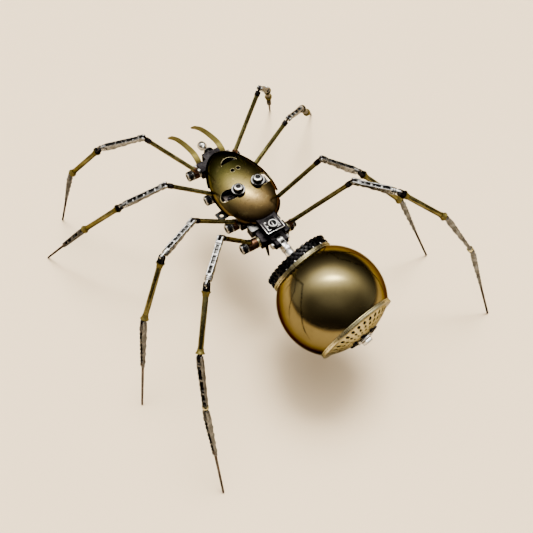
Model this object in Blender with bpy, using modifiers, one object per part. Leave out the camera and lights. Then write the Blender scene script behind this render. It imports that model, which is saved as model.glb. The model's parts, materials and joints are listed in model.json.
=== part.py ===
"""Posable metal spider: a domed front body and a round hollow abdomen on eight jointed legs.

Axes: +Z up, the head faces -Y, +X is the spider's left. Every joint is a plain hinge with a real pin.
"""

import math

import bmesh
import bpy
from mathutils import Matrix, Vector

MM = 0.001
GAP = 0.3 * MM  # running clearance between pieces

# The body frame's place in the world, which puts the centre of the whole footprint on the origin.
BODY_PLACE = Vector((-1.40, -3.92, 0.0)) * MM

X_AXIS, Y_AXIS, Z_AXIS = Vector((1, 0, 0)), Vector((0, 1, 0)), Vector((0, 0, 1))

# Colour, roughness and metallic value of each finish.
FINISHES = {
    "antique_brass": ((0.30, 0.21, 0.08), 0.38, 1.0),
    "polished_brass": ((0.42, 0.29, 0.10), 0.16, 1.0),
    "light_brass": ((0.62, 0.50, 0.26), 0.30, 1.0),
    "brass_tube": ((0.38, 0.30, 0.12), 0.30, 1.0),
    "chrome": ((0.82, 0.82, 0.84), 0.10, 1.0),
    "steel": ((0.55, 0.55, 0.57), 0.32, 1.0),
    "dark_steel": ((0.12, 0.115, 0.12), 0.38, 1.0),
    "black_oxide": ((0.02, 0.02, 0.022), 0.42, 1.0),
}

# Chassis: a bar under the shell with one boss for each hip.
CHASSIS_HALF_WIDTH = 8.5 * MM
CHASSIS_FRONT, CHASSIS_REAR = -40.0 * MM, 15.0 * MM
CHASSIS_BOTTOM, CHASSIS_TOP = 54.5 * MM, 59.5 * MM
NOSE_HALF_WIDTH, NOSE_FRONT, NOSE_BOTTOM = 5.2 * MM, -45.5 * MM, 52.0 * MM
BOSS_HALF = 3.3 * MM
TAIL_HALF_WIDTH, TAIL_TOP_HALF_WIDTH = 7.4 * MM, 5.5 * MM
TAIL_FORK_END = 24.2 * MM
SIDE_PLATE = Vector((16.8, -4.0, 57.4)) * MM

# Hips: an M3 screw points out sideways, and the femur's barrel turns on it. The left screws have tall
# heads; the right hips sit closer to the body and have low ones.
HIP_Z = 57.0 * MM
HIP_Y = {
    ("left", 1): -37.0 * MM, ("left", 2): -17.2 * MM, ("left", 3): 4.8 * MM, ("left", 4): 20.4 * MM,
    ("right", 1): -37.0 * MM, ("right", 2): -20.5 * MM, ("right", 3): 3.6 * MM, ("right", 4): 20.4 * MM,
}
BARREL_NEAR, BARREL_FAR = 8.8 * MM, 11.8 * MM  # where a barrel starts, close to the body or off it
BARREL_OUTER = {"left": 15.6 * MM, "right": 12.0 * MM}
BARREL_R = 3.0 * MM
SCREW_SHANK_R = 1.5 * MM
SCREW_WASHER_T = 0.5 * MM
SCREW_TIP_X = 6.6 * MM
# Radii of washer, head and shank, then the head's length.
TALL_SCREW = (3.0 * MM, 2.75 * MM, SCREW_SHANK_R, 3.0 * MM)
LOW_SCREW = (2.4 * MM, 1.9 * MM, SCREW_SHANK_R, 1.6 * MM)
SOCKET_SHARE = 0.53  # the hex socket's share of the head, in radius and in depth
FEMUR_ROOT = {"left": (14.5 * MM, 60.5 * MM), "right": (11.5 * MM, 60.2 * MM)}  # x and z

# Knuckles between leg segments.
EYE_R = 1.4 * MM
EYE_HALF_T = 0.5 * MM
EYE_HOLE_R = 0.75 * MM
PIN_R = 0.45 * MM
CHEEK_INNER = EYE_HALF_T + GAP
CHEEK_OUTER = 1.4 * MM
CHEEK_R = 1.2 * MM
BRIDGE_HALF_WIDTH = 1.5 * MM
FORK_BRIDGE = 1.8 * MM
FORK_END = 3.2 * MM
SLEEVE_FACE = 1.9 * MM  # from the hinge back to the sleeve or collar that holds the eye

# Leg tubes, strips and needles.
TUBE_R = 1.2 * MM
SLEEVE_R, SLEEVE_L = 1.6 * MM, 3.0 * MM
COLLAR_R, COLLAR_L = 2.3 * MM, 1.0 * MM
STRIP_SLIM, STRIP_WIDE = 0.8 * MM, 1.7 * MM
STRIP_SHARE = 0.52  # the strip's share of the last segment; the needle is the rest
NEEDLE_R = 0.6 * MM

FEMUR, TIBIA, METATARSUS, TARSUS = "femur", "tibia", "metatarsus", "tarsus"

# Segment lengths of each pair of legs, in mm. The last segment runs down to the floor. The right
# femurs are longer, because the right hips sit closer to the body.
RIGHT_FEMUR_EXTRA = 2.0
SEGMENTS = {
    1: ((FEMUR, 35.6), (TIBIA, 28.5), (METATARSUS, 33.5), (TARSUS, None)),
    2: ((FEMUR, 33.4), (TIBIA, 28.5), (METATARSUS, 37.0), (TARSUS, None)),
    3: ((FEMUR, 36.5), (TIBIA, 24.0), (METATARSUS, 37.0), (TARSUS, None)),
    4: ((FEMUR, 46.0), (TIBIA, 23.5), (METATARSUS, 34.0), ("tarsus_link", 30.0), (TARSUS, None)),
}

# The standing pose. Bearings turn from straight out sideways towards the rear and rises from level
# upwards, both in degrees, one for each segment from the body outwards.
STANCE = {
    ("left", 1): {"bearings": (-35.6, -40, -40, -39), "rises": (43.3, -27, -50, -73)},
    ("left", 2): {"bearings": (-5.9, -26, -39, -49), "rises": (40.1, -31, -46, -53)},
    ("left", 3): {"bearings": (11.1, 21, 29, 45), "rises": (44.1, -9, -53, -67)},
    ("left", 4): {"bearings": (28.8, 43, 51, 66, 75), "rises": (54.6, -14, -37, -58, -61)},
    ("right", 1): {"bearings": (-26.9, -45, -54, -54), "rises": (44.6, -46, -52, -56)},
    ("right", 2): {"bearings": (-11.7, -37, -45, -48), "rises": (35.6, -33, -49, -47)},
    ("right", 3): {"bearings": (23.7, 29, 30, 34), "rises": (51.5, -30, -45, -66)},
    ("right", 4): {"bearings": (39.1, 40, 33, 47, 58), "rises": (52.8, -11, -37, -52, -67)},
}
SIDES = {"left": 1, "right": -1}

# Front body shell: an egg-shaped dome, open underneath.
SHELL_CENTRE = Vector((0.0, -12.0, 62.0)) * MM
SHELL_HALF_LENGTH, SHELL_HALF_WIDTH, SHELL_HEIGHT = 27.5 * MM, 17.0 * MM, 10.8 * MM
SHELL_WALL = 0.9 * MM
SHELL_NOSE_TAPER = 0.15
SHELL_SCREW = Vector((6.0, -4.0, 0.0)) * MM
SHELL_SCREW_SIZES = (3.7 * MM, 2.6 * MM, 0.9 * MM, 2.0 * MM)
SHELL_SEAT_Z = 72.9 * MM
SHELL_BOSS_R, SHELL_BOSS_L = 3.2 * MM, 2.7 * MM
SLOT_FROM, SLOT_TO = Vector((8.7, -4.6, 0.0)) * MM, Vector((12.2, -6.2, 0.0)) * MM
SLOT_HALF_WIDTH = 3.1 * MM
SMALL_HOLE, SMALL_HOLE_R = Vector((1.7, -17.0, 0.0)) * MM, 1.1 * MM
NOSE_SLOT_R, NOSE_SLOT_Y, NOSE_SLOT_CHORD_Y = 5.0 * MM, -22.4 * MM, -23.6 * MM
LEG_ARCH_R = 3.5 * MM
LEG_ARCH_Z = {
    ("left", 2): 61.0 * MM, ("left", 3): 60.8 * MM,
    ("right", 2): 62.8 * MM, ("right", 3): 63.6 * MM,
}

# Front fittings.
FANG_AXLE = Vector((0.0, -43.0, 54.0)) * MM
FANG_X = 7.9 * MM
FANG_HALF_WIDTH, FANG_HALF_T = 1.7 * MM, 0.4 * MM
FANG_EYE_R = 1.7 * MM
FANG_ROUTE = (
    (-43.4, 54.3), (-45.5, 56.0), (-48.0, 57.0), (-50.8, 57.2), (-56.5, 55.8), (-62.9, 53.4),
    (-69.5, 50.2), (-73.1, 47.9), (-76.4, 45.4), (-80.6, 42.0), (-81.8, 41.0),
)
STUD_BASE = Vector((0.0, -46.65, 57.0)) * MM
STUD_DROP = math.radians(16)
STUD_SPIGOT_R, STUD_SPIGOT_L = 1.2 * MM, 3.5 * MM
STUD_PROFILE = (
    (0, 1.2), (0, 3.1), (0.8, 3.1), (1.6, 1.9), (2.8, 1.4), (5.6, 1.3),
    (6.4, 2.0), (7.2, 2.55), (9.4, 2.6), (10.6, 1.9), (11.0, 0),
)

# Waist and abdomen. The abdomen's axis leans down and to the right.
WAIST_PIVOT = Vector((0.0, 20.4, 60.0)) * MM
ABDOMEN_CENTRE = Vector((-4.6, 68.9, 54.0)) * MM
ABDOMEN_YAW, ABDOMEN_DROOP = math.radians(8.5), math.radians(12)
TILT_AHEAD = 41.0 * MM  # from the abdomen's centre forwards to the level pin
ABDOMEN_R, ABDOMEN_WALL = 28.2 * MM, 1.0 * MM
FRONT_MOUTH_R, REAR_MOUTH_R = 17.6 * MM, 21.6 * MM
FLANGE_R, FLANGE_T = 18.4 * MM, 1.4 * MM
GEAR_R, GEAR_T, GEAR_TEETH = 18.4 * MM, 4.4 * MM, 36
CAP_BULGE, CAP_WALL = 6.5 * MM, 0.9 * MM
CAP_HOLES = 20
ROD_R = 1.5 * MM
LINK_HALF_WIDTH = 3.8 * MM
STEM_EYE_HALF_T = 1.5 * MM


# ---------------------------------------------------------------- scene helpers


def empty_scene():
    for obj in list(bpy.data.objects):
        bpy.data.objects.remove(obj)


def collection(name):
    made = bpy.data.collections.new(name)
    bpy.context.scene.collection.children.link(made)
    return made


def frame(origin, x_dir, y_dir):
    """A placing matrix whose X runs along x_dir and whose Y is as near to y_dir as it can be."""
    x = x_dir.normalized()
    z = x.cross(y_dir).normalized()
    y = z.cross(x)
    matrix = Matrix((x, y, z)).transposed().to_4x4()
    matrix.translation = origin
    return matrix


def paint(obj, finish):
    colour, roughness, metallic = FINISHES[finish]
    material = bpy.data.materials.new(obj.name)
    material.use_nodes = True
    shader = material.node_tree.nodes["Principled BSDF"]
    shader.inputs["Base Color"].default_value = (*colour, 1.0)
    shader.inputs["Roughness"].default_value = roughness
    shader.inputs["Metallic"].default_value = metallic
    obj.data.materials.clear()
    obj.data.materials.append(material)


def smooth(obj):
    mesh = obj.data
    mesh.shade_smooth()
    mesh.set_sharp_from_angle(angle=math.radians(35))


# ---------------------------------------------------------------- primitives


def piece(bm, matrix):
    """A loose solid in world place, ready to be joined or cut."""
    bm.transform(matrix)
    bmesh.ops.recalc_face_normals(bm, faces=bm.faces)
    if bm.calc_volume(signed=True) < 0:
        bmesh.ops.reverse_faces(bm, faces=bm.faces)
    mesh = bpy.data.meshes.new("piece")
    bm.to_mesh(mesh)
    bm.free()
    obj = bpy.data.objects.new("piece", mesh)
    bpy.context.scene.collection.objects.link(obj)
    return obj


def rod(matrix, start, end, radius, segments=8):
    """A cylinder along the matrix's X, from start to end."""
    bm = bmesh.new()
    bmesh.ops.create_cone(
        bm,
        cap_ends=True,
        segments=segments,
        radius1=radius,
        radius2=radius,
        depth=end - start,
    )
    turn = Matrix.Rotation(math.radians(90), 4, "Y")
    return piece(bm, matrix @ Matrix.Translation(((start + end) / 2, 0, 0)) @ turn)


def ball(matrix, radius, segments=9):
    bm = bmesh.new()
    bmesh.ops.create_uvsphere(bm, u_segments=segments, v_segments=5, radius=radius)
    return piece(bm, matrix)


def block(matrix, low, high):
    """A box between two corners of the matrix's frame."""
    low, high = Vector(low), Vector(high)
    size = high - low
    bm = bmesh.new()
    bmesh.ops.create_cube(bm, size=1.0)
    return piece(bm, matrix @ Matrix.Translation((low + high) / 2) @ Matrix.Diagonal((*size, 1.0)))


def wedge(matrix, start, end, half_width, start_half_height, end_half_height):
    """A box along X whose height changes from one end to the other."""
    bm = bmesh.new()
    bmesh.ops.create_cube(bm, size=1.0)
    for vert in bm.verts:
        half_height = start_half_height if vert.co.x < 0 else end_half_height
        x = start if vert.co.x < 0 else end
        vert.co = Vector((x, math.copysign(half_width, vert.co.y), math.copysign(half_height, vert.co.z)))
    return piece(bm, matrix)


def lug(matrix, near, far, radius, reach):
    """A plate across Y, rounded about the matrix's origin and drawn out flat along X to reach."""
    bm = bmesh.new()
    bmesh.ops.create_cone(bm, cap_ends=True, segments=8, radius1=radius, radius2=radius, depth=far - near)
    bm.transform(Matrix.Translation((0, (near + far) / 2, 0)) @ Matrix.Rotation(math.radians(90), 4, "X"))
    for vert in bm.verts:
        if vert.co.x * reach > 1e-10:
            vert.co.x = reach
    return piece(bm, matrix)


def turned(matrix, profile, steps=32):
    """A solid turned about the matrix's X, from (along, radius) points.

    The points either start and end on the axis, or they go round a closed section clear of it.
    """
    mesh = bpy.data.meshes.new("profile")
    points = [(radius, 0.0, along) for along, radius in profile]
    edges = [(i, i + 1) for i in range(len(points) - 1)]
    if profile[0][1] > 0 and profile[-1][1] > 0:
        edges.append((len(points) - 1, 0))
    mesh.from_pydata(points, edges, [])
    obj = bpy.data.objects.new("profile", mesh)
    bpy.context.scene.collection.objects.link(obj)
    screw = obj.modifiers.new("Turn", "SCREW")
    screw.axis = "Z"
    screw.steps = steps
    screw.render_steps = steps
    screw.use_merge_vertices = True
    screw.merge_threshold = 1e-6
    made = baked(obj)
    bm = bmesh.new()
    bm.from_mesh(made)
    bmesh.ops.remove_doubles(bm, verts=bm.verts, dist=1e-7)
    bpy.data.objects.remove(obj)
    return piece(bm, matrix @ Matrix.Rotation(math.radians(90), 4, "Y"))


def baked(obj):
    graph = bpy.context.evaluated_depsgraph_get()
    return bpy.data.meshes.new_from_object(obj.evaluated_get(graph))


def combine(base, others, operation):
    """Joins or cuts base with the others, which are used up."""
    if not others:
        return base
    for number, other in enumerate(others):
        modifier = base.modifiers.new(f"{operation}_{number}", "BOOLEAN")
        modifier.operation = operation
        modifier.solver = "EXACT"
        modifier.object = other
    made = baked(base)
    base.modifiers.clear()
    base.data = made
    for other in others:
        bpy.data.objects.remove(other)
    return base


def sub_part(name, finish, pivot, pieces, holes=()):
    """Fuses pieces, cuts holes, and stores the result under its name with its origin on the pivot."""
    obj = combine(pieces[0], pieces[1:], "UNION")
    obj = combine(obj, list(holes), "DIFFERENCE")
    obj.data.transform(Matrix.Translation(-pivot))
    obj.location = pivot
    obj.name = name
    obj.data.name = name
    bpy.context.scene.collection.objects.unlink(obj)
    PARTS.objects.link(obj)
    paint(obj, finish)
    smooth(obj)
    return obj


# ---------------------------------------------------------------- body


def hip_frame(side, pair):
    """X points out along the hip screw, from the body's centre plane."""
    return frame(Vector((0, HIP_Y[side, pair], HIP_Z)), X_AXIS * SIDES[side], Y_AXIS)


def barrel_span(side, pair):
    """Where a hip's barrel starts and ends, outwards from the centre plane."""
    close = side == "right" or pair == 4
    return BARREL_NEAR if close else BARREL_FAR, BARREL_OUTER[side]


def hip_pivot(side, pair):
    return hip_frame(side, pair) @ Vector((sum(barrel_span(side, pair)) / 2, 0, 0))


def shell_screw_frame(sign):
    """X points up along a shell screw, from the floor."""
    return frame(Vector((sign * SHELL_SCREW.x, SHELL_SCREW.y, 0)), Z_AXIS, Y_AXIS)


def chassis():
    still = Matrix.Identity(4)
    pieces = [
        block(
            still,
            (-CHASSIS_HALF_WIDTH, CHASSIS_FRONT, CHASSIS_BOTTOM),
            (CHASSIS_HALF_WIDTH, CHASSIS_REAR, CHASSIS_TOP),
        ),
        nose_block(),
        *tail_fork(),
        *tail_blade(),
        *side_plate(),
        block(still, (5.0 * MM, 11.6 * MM, 56.0 * MM), (10.3 * MM, 16.2 * MM, 61.6 * MM)),
    ]
    for side, pair in HIP_Y:
        near = TAIL_HALF_WIDTH - 1.5 * MM if pair == 4 else 4 * MM
        far = barrel_span(side, pair)[0] - GAP
        hip = hip_frame(side, pair)
        pieces.append(block(hip, (near, -BOSS_HALF, -BOSS_HALF), (far, BOSS_HALF, BOSS_HALF)))
    for side in SIDES.values():
        post = shell_screw_frame(side)
        pieces.append(rod(post, CHASSIS_TOP - MM, SHELL_SEAT_Z - SHELL_BOSS_L - 2 * GAP, 2.2 * MM))
    holes = []
    for place in HIP_Y:
        holes.append(rod(hip_frame(*place), SCREW_TIP_X - GAP, 20 * MM, SCREW_SHANK_R + GAP))
    holes += [fang_axle_hole(), waist_gap(), *waist_screw_holes()]
    holes.append(rod(stud_frame(), -STUD_SPIGOT_L - GAP, 5 * MM, STUD_SPIGOT_R + GAP))
    holes.append(rod(frame(SIDE_PLATE, Z_AXIS, Y_AXIS), -3 * MM, 3 * MM, 1.55 * MM, segments=14))
    for side in SIDES.values():
        post = shell_screw_frame(side)
        holes.append(rod(post, SHELL_SEAT_Z - 11 * MM, SHELL_SEAT_Z, 0.9 * MM + GAP))
    sub_part("chassis", "dark_steel", Vector((0, 0, HIP_Z)), pieces, holes)


def nose_block():
    """The front bracket, which carries the fangs' axle and the front stud."""
    low = (-NOSE_HALF_WIDTH, NOSE_FRONT, NOSE_BOTTOM)
    high = (NOSE_HALF_WIDTH, CHASSIS_FRONT + MM, CHASSIS_TOP)
    return block(Matrix.Identity(4), low, high)


def fang_axle_hole():
    return rod(frame(FANG_AXLE, X_AXIS, Y_AXIS), -6 * MM, 6 * MM, 0.9 * MM + GAP)


def tail_fork():
    """A narrow plate above the waist link, and a wide tray below it with a cheek for each last hip."""
    still = Matrix.Identity(4)
    low, high = WAIST_PIVOT.z - 5.0 * MM, WAIST_PIVOT.z + 5.0 * MM
    front = CHASSIS_REAR - 2 * MM
    narrow, wide = TAIL_TOP_HALF_WIDTH, TAIL_HALF_WIDTH
    return [
        block(still, (-narrow, front, low + MM), (narrow, TAIL_FORK_END, high)),
        block(still, (-wide, front, low), (wide, TAIL_FORK_END, HIP_Z + BOSS_HALF)),
    ]


def side_plate():
    """A small square plate with a round hole, on an arm at the body's left side."""
    square = frame(SIDE_PLATE, Vector((0.99, 0.14, 0)), Y_AXIS)
    return [
        block(square, (-2.3 * MM, -2.5 * MM, -0.4 * MM), (2.3 * MM, 2.5 * MM, 0.4 * MM)),
        block(square, (-9.5 * MM, -1.2 * MM, -0.35 * MM), (-2.0 * MM, 1.2 * MM, 0.35 * MM)),
    ]


def waist_gap():
    """The mouth that the waist link turns in."""
    still = Matrix.Identity(4)
    half = 3.0 * MM + GAP
    centre = WAIST_PIVOT
    return block(
        still,
        (-TAIL_HALF_WIDTH + 1.6 * MM, centre.y - 3.6 * MM, centre.z - half),
        (TAIL_HALF_WIDTH - 1.6 * MM, TAIL_FORK_END + MM, centre.z + half),
    )


def waist_screw_holes():
    """The pivot screw's hole, and the pocket for its nut."""
    upright = frame(WAIST_PIVOT, Z_AXIS, Y_AXIS)
    return [rod(upright, -8 * MM, 8 * MM, 1.2 * MM + GAP), rod(upright, -9 * MM, -5 * MM, 2.4 * MM)]


def egg_point(vert, half_length, half_width, height):
    """Sends a unit sphere's point to the egg: narrower towards the nose."""
    taper = 1 + SHELL_NOSE_TAPER * vert.y
    return Vector((vert.x * half_width * taper, vert.y * half_length, vert.z * height))


def prosoma_shell():
    """An egg-shaped dome with a nose slot, two small holes, two eye slots and arches for the legs."""
    bm = bmesh.new()
    bmesh.ops.create_uvsphere(bm, u_segments=24, v_segments=14, radius=1.0)
    bmesh.ops.delete(bm, geom=[v for v in bm.verts if v.co.z < -0.01], context="VERTS")
    for vert in bm.verts:
        vert.co = egg_point(vert.co, SHELL_HALF_LENGTH, SHELL_HALF_WIDTH, SHELL_HEIGHT)
    shell = piece(bm, Matrix.Translation(SHELL_CENTRE))
    solidify = shell.modifiers.new("Wall", "SOLIDIFY")
    solidify.thickness = SHELL_WALL
    solidify.offset = -1.0
    shell.data = baked(shell)
    shell.modifiers.clear()
    pieces = [combine(shell, shell_slots(), "DIFFERENCE")]
    for side in SIDES.values():
        upright = shell_screw_frame(side)
        pieces.append(rod(upright, SHELL_SEAT_Z - SHELL_BOSS_L, SHELL_SEAT_Z, SHELL_BOSS_R, segments=20))
    sub_part("prosoma_shell", "antique_brass", SHELL_CENTRE, pieces, shell_holes())


def shell_slots():
    """The two eye slots, each with round ends."""
    up = frame(Vector((0, 0, 0)), Z_AXIS, Y_AXIS)
    low, high = SHELL_CENTRE.z - 2 * MM, SHELL_CENTRE.z + 2 * SHELL_HEIGHT
    slots = []
    for side in SIDES.values():
        mirror = Vector((side, 1, 1))
        start, end = SLOT_FROM * mirror, SLOT_TO * mirror
        half = (end - start).length / 2
        along = frame((start + end) / 2, end - start, Y_AXIS)
        slot = block(along, (-half, -SLOT_HALF_WIDTH, -high), (half, SLOT_HALF_WIDTH, high))
        ends = []
        for place in (start, end):
            ends.append(rod(Matrix.Translation(place) @ up, low, high, SLOT_HALF_WIDTH, segments=14))
        slots.append(combine(slot, ends, "UNION"))
    return slots


def shell_holes():
    up = frame(Vector((0, 0, 0)), Z_AXIS, Y_AXIS)
    low, high = SHELL_CENTRE.z - 2 * MM, SHELL_CENTRE.z + 2 * SHELL_HEIGHT
    holes = []
    for side in SIDES.values():
        mirror = Vector((side, 1, 1))
        holes.append(rod(Matrix.Translation(SHELL_SCREW * mirror) @ up, low, high, 1.5 * MM))
        small = Matrix.Translation(SMALL_HOLE * mirror) @ up
        holes.append(rod(small, low, high, SMALL_HOLE_R, segments=12))
    nose = rod(Matrix.Translation((0, NOSE_SLOT_Y, 0)) @ up, low, high, NOSE_SLOT_R, segments=20)
    behind = block(Matrix.Identity(4), (-9 * MM, NOSE_SLOT_CHORD_Y, 0), (9 * MM, 0, high + MM))
    holes.append(combine(nose, [behind], "DIFFERENCE"))
    for (side, pair), z in LEG_ARCH_Z.items():
        y = HIP_Y[side, pair]
        near, far = sorted((SIDES[side] * 8 * MM, SIDES[side] * 25 * MM))
        arch = rod(frame(Vector((0, y, z)), X_AXIS, Y_AXIS), near, far, LEG_ARCH_R, segments=16)
        under = block(Matrix.Identity(4), (near, y - LEG_ARCH_R, z - 5 * MM), (far, y + LEG_ARCH_R, z))
        holes.append(combine(arch, [under], "UNION"))
    tail = TAIL_TOP_HALF_WIDTH + 0.6 * MM
    holes.append(block(Matrix.Identity(4), (-tail, 0, 55 * MM), (tail, 30 * MM, WAIST_PIVOT.z + 5.5 * MM)))
    return holes


def screw_pieces(matrix, head_from, shank_to, sizes):
    """A socket-head screw along X: its shank runs inwards from a washer, and its head outwards."""
    washer_r, head_r, shank_r, head_l = sizes
    head_to = head_from + SCREW_WASHER_T + head_l
    pieces = [
        rod(matrix, head_from, head_from + SCREW_WASHER_T, washer_r, segments=16),
        rod(matrix, head_from + SCREW_WASHER_T / 2, head_to, head_r, segments=16),
        rod(matrix, shank_to, head_from + SCREW_WASHER_T / 2, shank_r),
    ]
    socket = rod(matrix, head_to - SOCKET_SHARE * head_l, head_to + MM, SOCKET_SHARE * head_r, segments=6)
    return pieces, [socket]


def hip_screws():
    for side, pair in HIP_Y:
        matrix = hip_frame(side, pair)
        sizes = TALL_SCREW if side == "left" else LOW_SCREW
        outer = BARREL_OUTER[side]
        pieces, holes = screw_pieces(matrix, outer + GAP, SCREW_TIP_X, sizes)
        sub_part(f"hip_screw_{side}_{pair}", "steel", matrix @ Vector((outer, 0, 0)), pieces, holes)


def shell_screws():
    for side, sign in SIDES.items():
        matrix = shell_screw_frame(sign)
        pieces, holes = screw_pieces(matrix, SHELL_SEAT_Z + GAP, SHELL_SEAT_Z - 8 * MM, SHELL_SCREW_SIZES)
        sub_part(f"shell_screw_{side}", "steel", matrix @ Vector((SHELL_SEAT_Z, 0, 0)), pieces, holes)


def fang_axle():
    matrix = frame(FANG_AXLE, X_AXIS, Y_AXIS)
    end = FANG_X + FANG_HALF_WIDTH + 0.1 * MM + GAP
    pieces = [rod(matrix, -end - MM, end + MM, 0.9 * MM)]
    pieces += [rod(matrix, end, end + 1.4 * MM, 1.7 * MM), rod(matrix, -end - 1.4 * MM, -end, 1.7 * MM)]
    sub_part("fang_axle", "steel", FANG_AXLE, pieces)


def ribbon(route, half_width, thickness, x):
    """A flat strip bent along (y, z) points in mm, whose last rows narrow to a rounded tip."""
    rows = len(route)
    bm = bmesh.new()
    bmesh.ops.create_grid(bm, x_segments=1, y_segments=rows - 1, size=1.0)
    for vert in bm.verts:
        row = round((vert.co.y + 1) / 2 * (rows - 1))
        y, z = route[row]
        share = {rows - 1: 0.45, rows - 2: 0.85}.get(row, 1.0)
        vert.co = Vector((x + math.copysign(half_width * share, vert.co.x), y * MM, z * MM))
    strip = piece(bm, Matrix.Identity(4))
    solidify = strip.modifiers.new("Thickness", "SOLIDIFY")
    solidify.thickness = thickness
    solidify.offset = 0.0
    strip.data = baked(strip)
    strip.modifiers.clear()
    return strip


def fangs():
    for side, sign in SIDES.items():
        pivot = Vector((sign * FANG_X, FANG_AXLE.y, FANG_AXLE.z))
        across = frame(pivot, X_AXIS, Y_AXIS)
        pieces = [
            ribbon(FANG_ROUTE, FANG_HALF_WIDTH, 2 * FANG_HALF_T, pivot.x),
            rod(across, -FANG_HALF_WIDTH - 0.1 * MM, FANG_HALF_WIDTH + 0.1 * MM, FANG_EYE_R, segments=14),
        ]
        hole = rod(across, -4 * MM, 4 * MM, 0.9 * MM + GAP)
        sub_part(f"fang_{side}", "brass_tube", pivot, pieces, [hole])


def stud_frame():
    """X points forwards and a little down along the front stud, from its flange."""
    out = Vector((0, -math.cos(STUD_DROP), -math.sin(STUD_DROP)))
    return frame(STUD_BASE, out, X_AXIS)


def front_stud():
    """A chrome mushroom-headed stud on the nose, whose spigot sits in the chassis."""
    matrix = stud_frame()
    spigot = [(-STUD_SPIGOT_L, 0), (-STUD_SPIGOT_L, STUD_SPIGOT_R)]
    scaled = spigot + [(along * MM, radius * MM) for along, radius in STUD_PROFILE]
    sub_part("front_stud", "chrome", STUD_BASE, [turned(matrix, scaled, steps=16)])


# ---------------------------------------------------------------- waist and abdomen


def waist_screw():
    """The slotted pivot screw of the waist, with its ring-shaped head."""
    matrix = frame(WAIST_PIVOT, Z_AXIS, Y_AXIS)
    top = 5.0 * MM + GAP
    pieces = [
        rod(matrix, -6.5 * MM, top + MM, 1.2 * MM),
        rod(matrix, top, top + 2.2 * MM, 2.6 * MM, segments=16),
        rod(matrix, -6.8 * MM, -5.0 * MM - GAP, 2.0 * MM, segments=6),
    ]
    slot = block(matrix, (top + 1.4 * MM, -4 * MM, -0.35 * MM), (top + 3 * MM, 4 * MM, 0.35 * MM))
    sub_part("waist_screw", "chrome", WAIST_PIVOT, pieces, [slot])


def abdomen_frame(along=0.0):
    """X points rearwards along the abdomen's axis, from its centre."""
    flat = math.cos(ABDOMEN_DROOP)
    axis = Vector((-math.sin(ABDOMEN_YAW) * flat, math.cos(ABDOMEN_YAW) * flat, -math.sin(ABDOMEN_DROOP)))
    return frame(ABDOMEN_CENTRE + axis * along, axis, X_AXIS)


WAIST_TILT = abdomen_frame(-TILT_AHEAD).to_translation()


def tilt_frame():
    """X along the waist's level pin, which is square to the abdomen."""
    return frame(WAIST_TILT, Vector((math.cos(ABDOMEN_YAW), math.sin(ABDOMEN_YAW), 0)), Z_AXIS)


def waist_link():
    """The block between the waist's upright screw and its level pin, with a fork at its rear."""
    pivot, tilt = WAIST_PIVOT, WAIST_TILT
    upright = frame(pivot, Z_AXIS, Y_AXIS)
    pin = tilt_frame()
    across = pin.to_3x3() @ X_AXIS
    rearwards = Z_AXIS.cross(across)
    fork = frame(tilt, -rearwards, across)
    arm = frame(pivot, tilt - pivot, X_AXIS)
    pieces = [
        rod(upright, -3.0 * MM, 3.0 * MM, 3.0 * MM, segments=16),
        block(arm, (0, -2.7 * MM, -1.8 * MM), (6.6 * MM, 2.7 * MM, 1.8 * MM)),
        lug(fork, -LINK_HALF_WIDTH, LINK_HALF_WIDTH, 3.0 * MM, 3.9 * MM),
    ]
    slot_half = STEM_EYE_HALF_T + GAP
    holes = [
        rod(upright, -5 * MM, 5 * MM, 1.2 * MM + GAP),
        block(fork, (-6 * MM, -slot_half, -6 * MM), (3.1 * MM, slot_half, 6 * MM)),
        rod(pin, -6 * MM, 6 * MM, 1.0 * MM + GAP),
    ]
    sub_part("waist_link", "dark_steel", pivot, pieces, holes)


def waist_pin():
    side = LINK_HALF_WIDTH + GAP
    pieces = [
        rod(tilt_frame(), -side - MM, side + MM, 1.0 * MM),
        rod(tilt_frame(), side, side + 1.5 * MM, 1.8 * MM),
        rod(tilt_frame(), -side - 1.5 * MM, -side, 1.8 * MM, segments=6),
    ]
    sub_part("waist_pin", "chrome", WAIST_TILT, pieces)


def tail_blade():
    """A small pointed blade that hangs from the tail's rear left corner."""
    top, tip = Vector((5.2, 22.0, 55.3)) * MM, Vector((4.7, 24.6, 46.0)) * MM
    matrix = frame(top, tip - top, X_AXIS)
    return [wedge(matrix, -0.6 * MM, (tip - top).length, 0.4 * MM, 2.3 * MM, 0.4 * MM)]


FLANGE_AT = -math.sqrt(ABDOMEN_R**2 - FRONT_MOUTH_R**2)
RIM_AT = math.sqrt(ABDOMEN_R**2 - REAR_MOUTH_R**2)


def arc_profile(radius, start, end, steps):
    """Points of a circle about the centre between two places along the axis."""
    first, last = math.acos(start / radius), math.acos(end / radius)
    angles = [first + (last - first) * i / steps for i in range(steps + 1)]
    return [(radius * math.cos(a), radius * math.sin(a)) for a in angles]


def abdomen_shell():
    inner = ABDOMEN_R - ABDOMEN_WALL
    outside = arc_profile(ABDOMEN_R, RIM_AT, FLANGE_AT, 10)
    inside = arc_profile(inner, FLANGE_AT, RIM_AT, 7)
    shell = turned(abdomen_frame(), outside + inside, steps=32)
    sub_part("abdomen_shell", "polished_brass", ABDOMEN_CENTRE, [shell])


def front_flange():
    """The brass plate that closes the abdomen's front mouth."""
    at = FLANGE_AT - GAP
    profile = [
        (at, ROD_R + GAP),
        (at, FLANGE_R - 0.4 * MM),
        (at - 0.4 * MM, FLANGE_R),
        (at - FLANGE_T, FLANGE_R - 0.3 * MM),
        (at - FLANGE_T, ROD_R + GAP),
    ]
    sub_part("front_flange", "light_brass", ABDOMEN_CENTRE, [turned(abdomen_frame(), profile, steps=32)])


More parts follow.
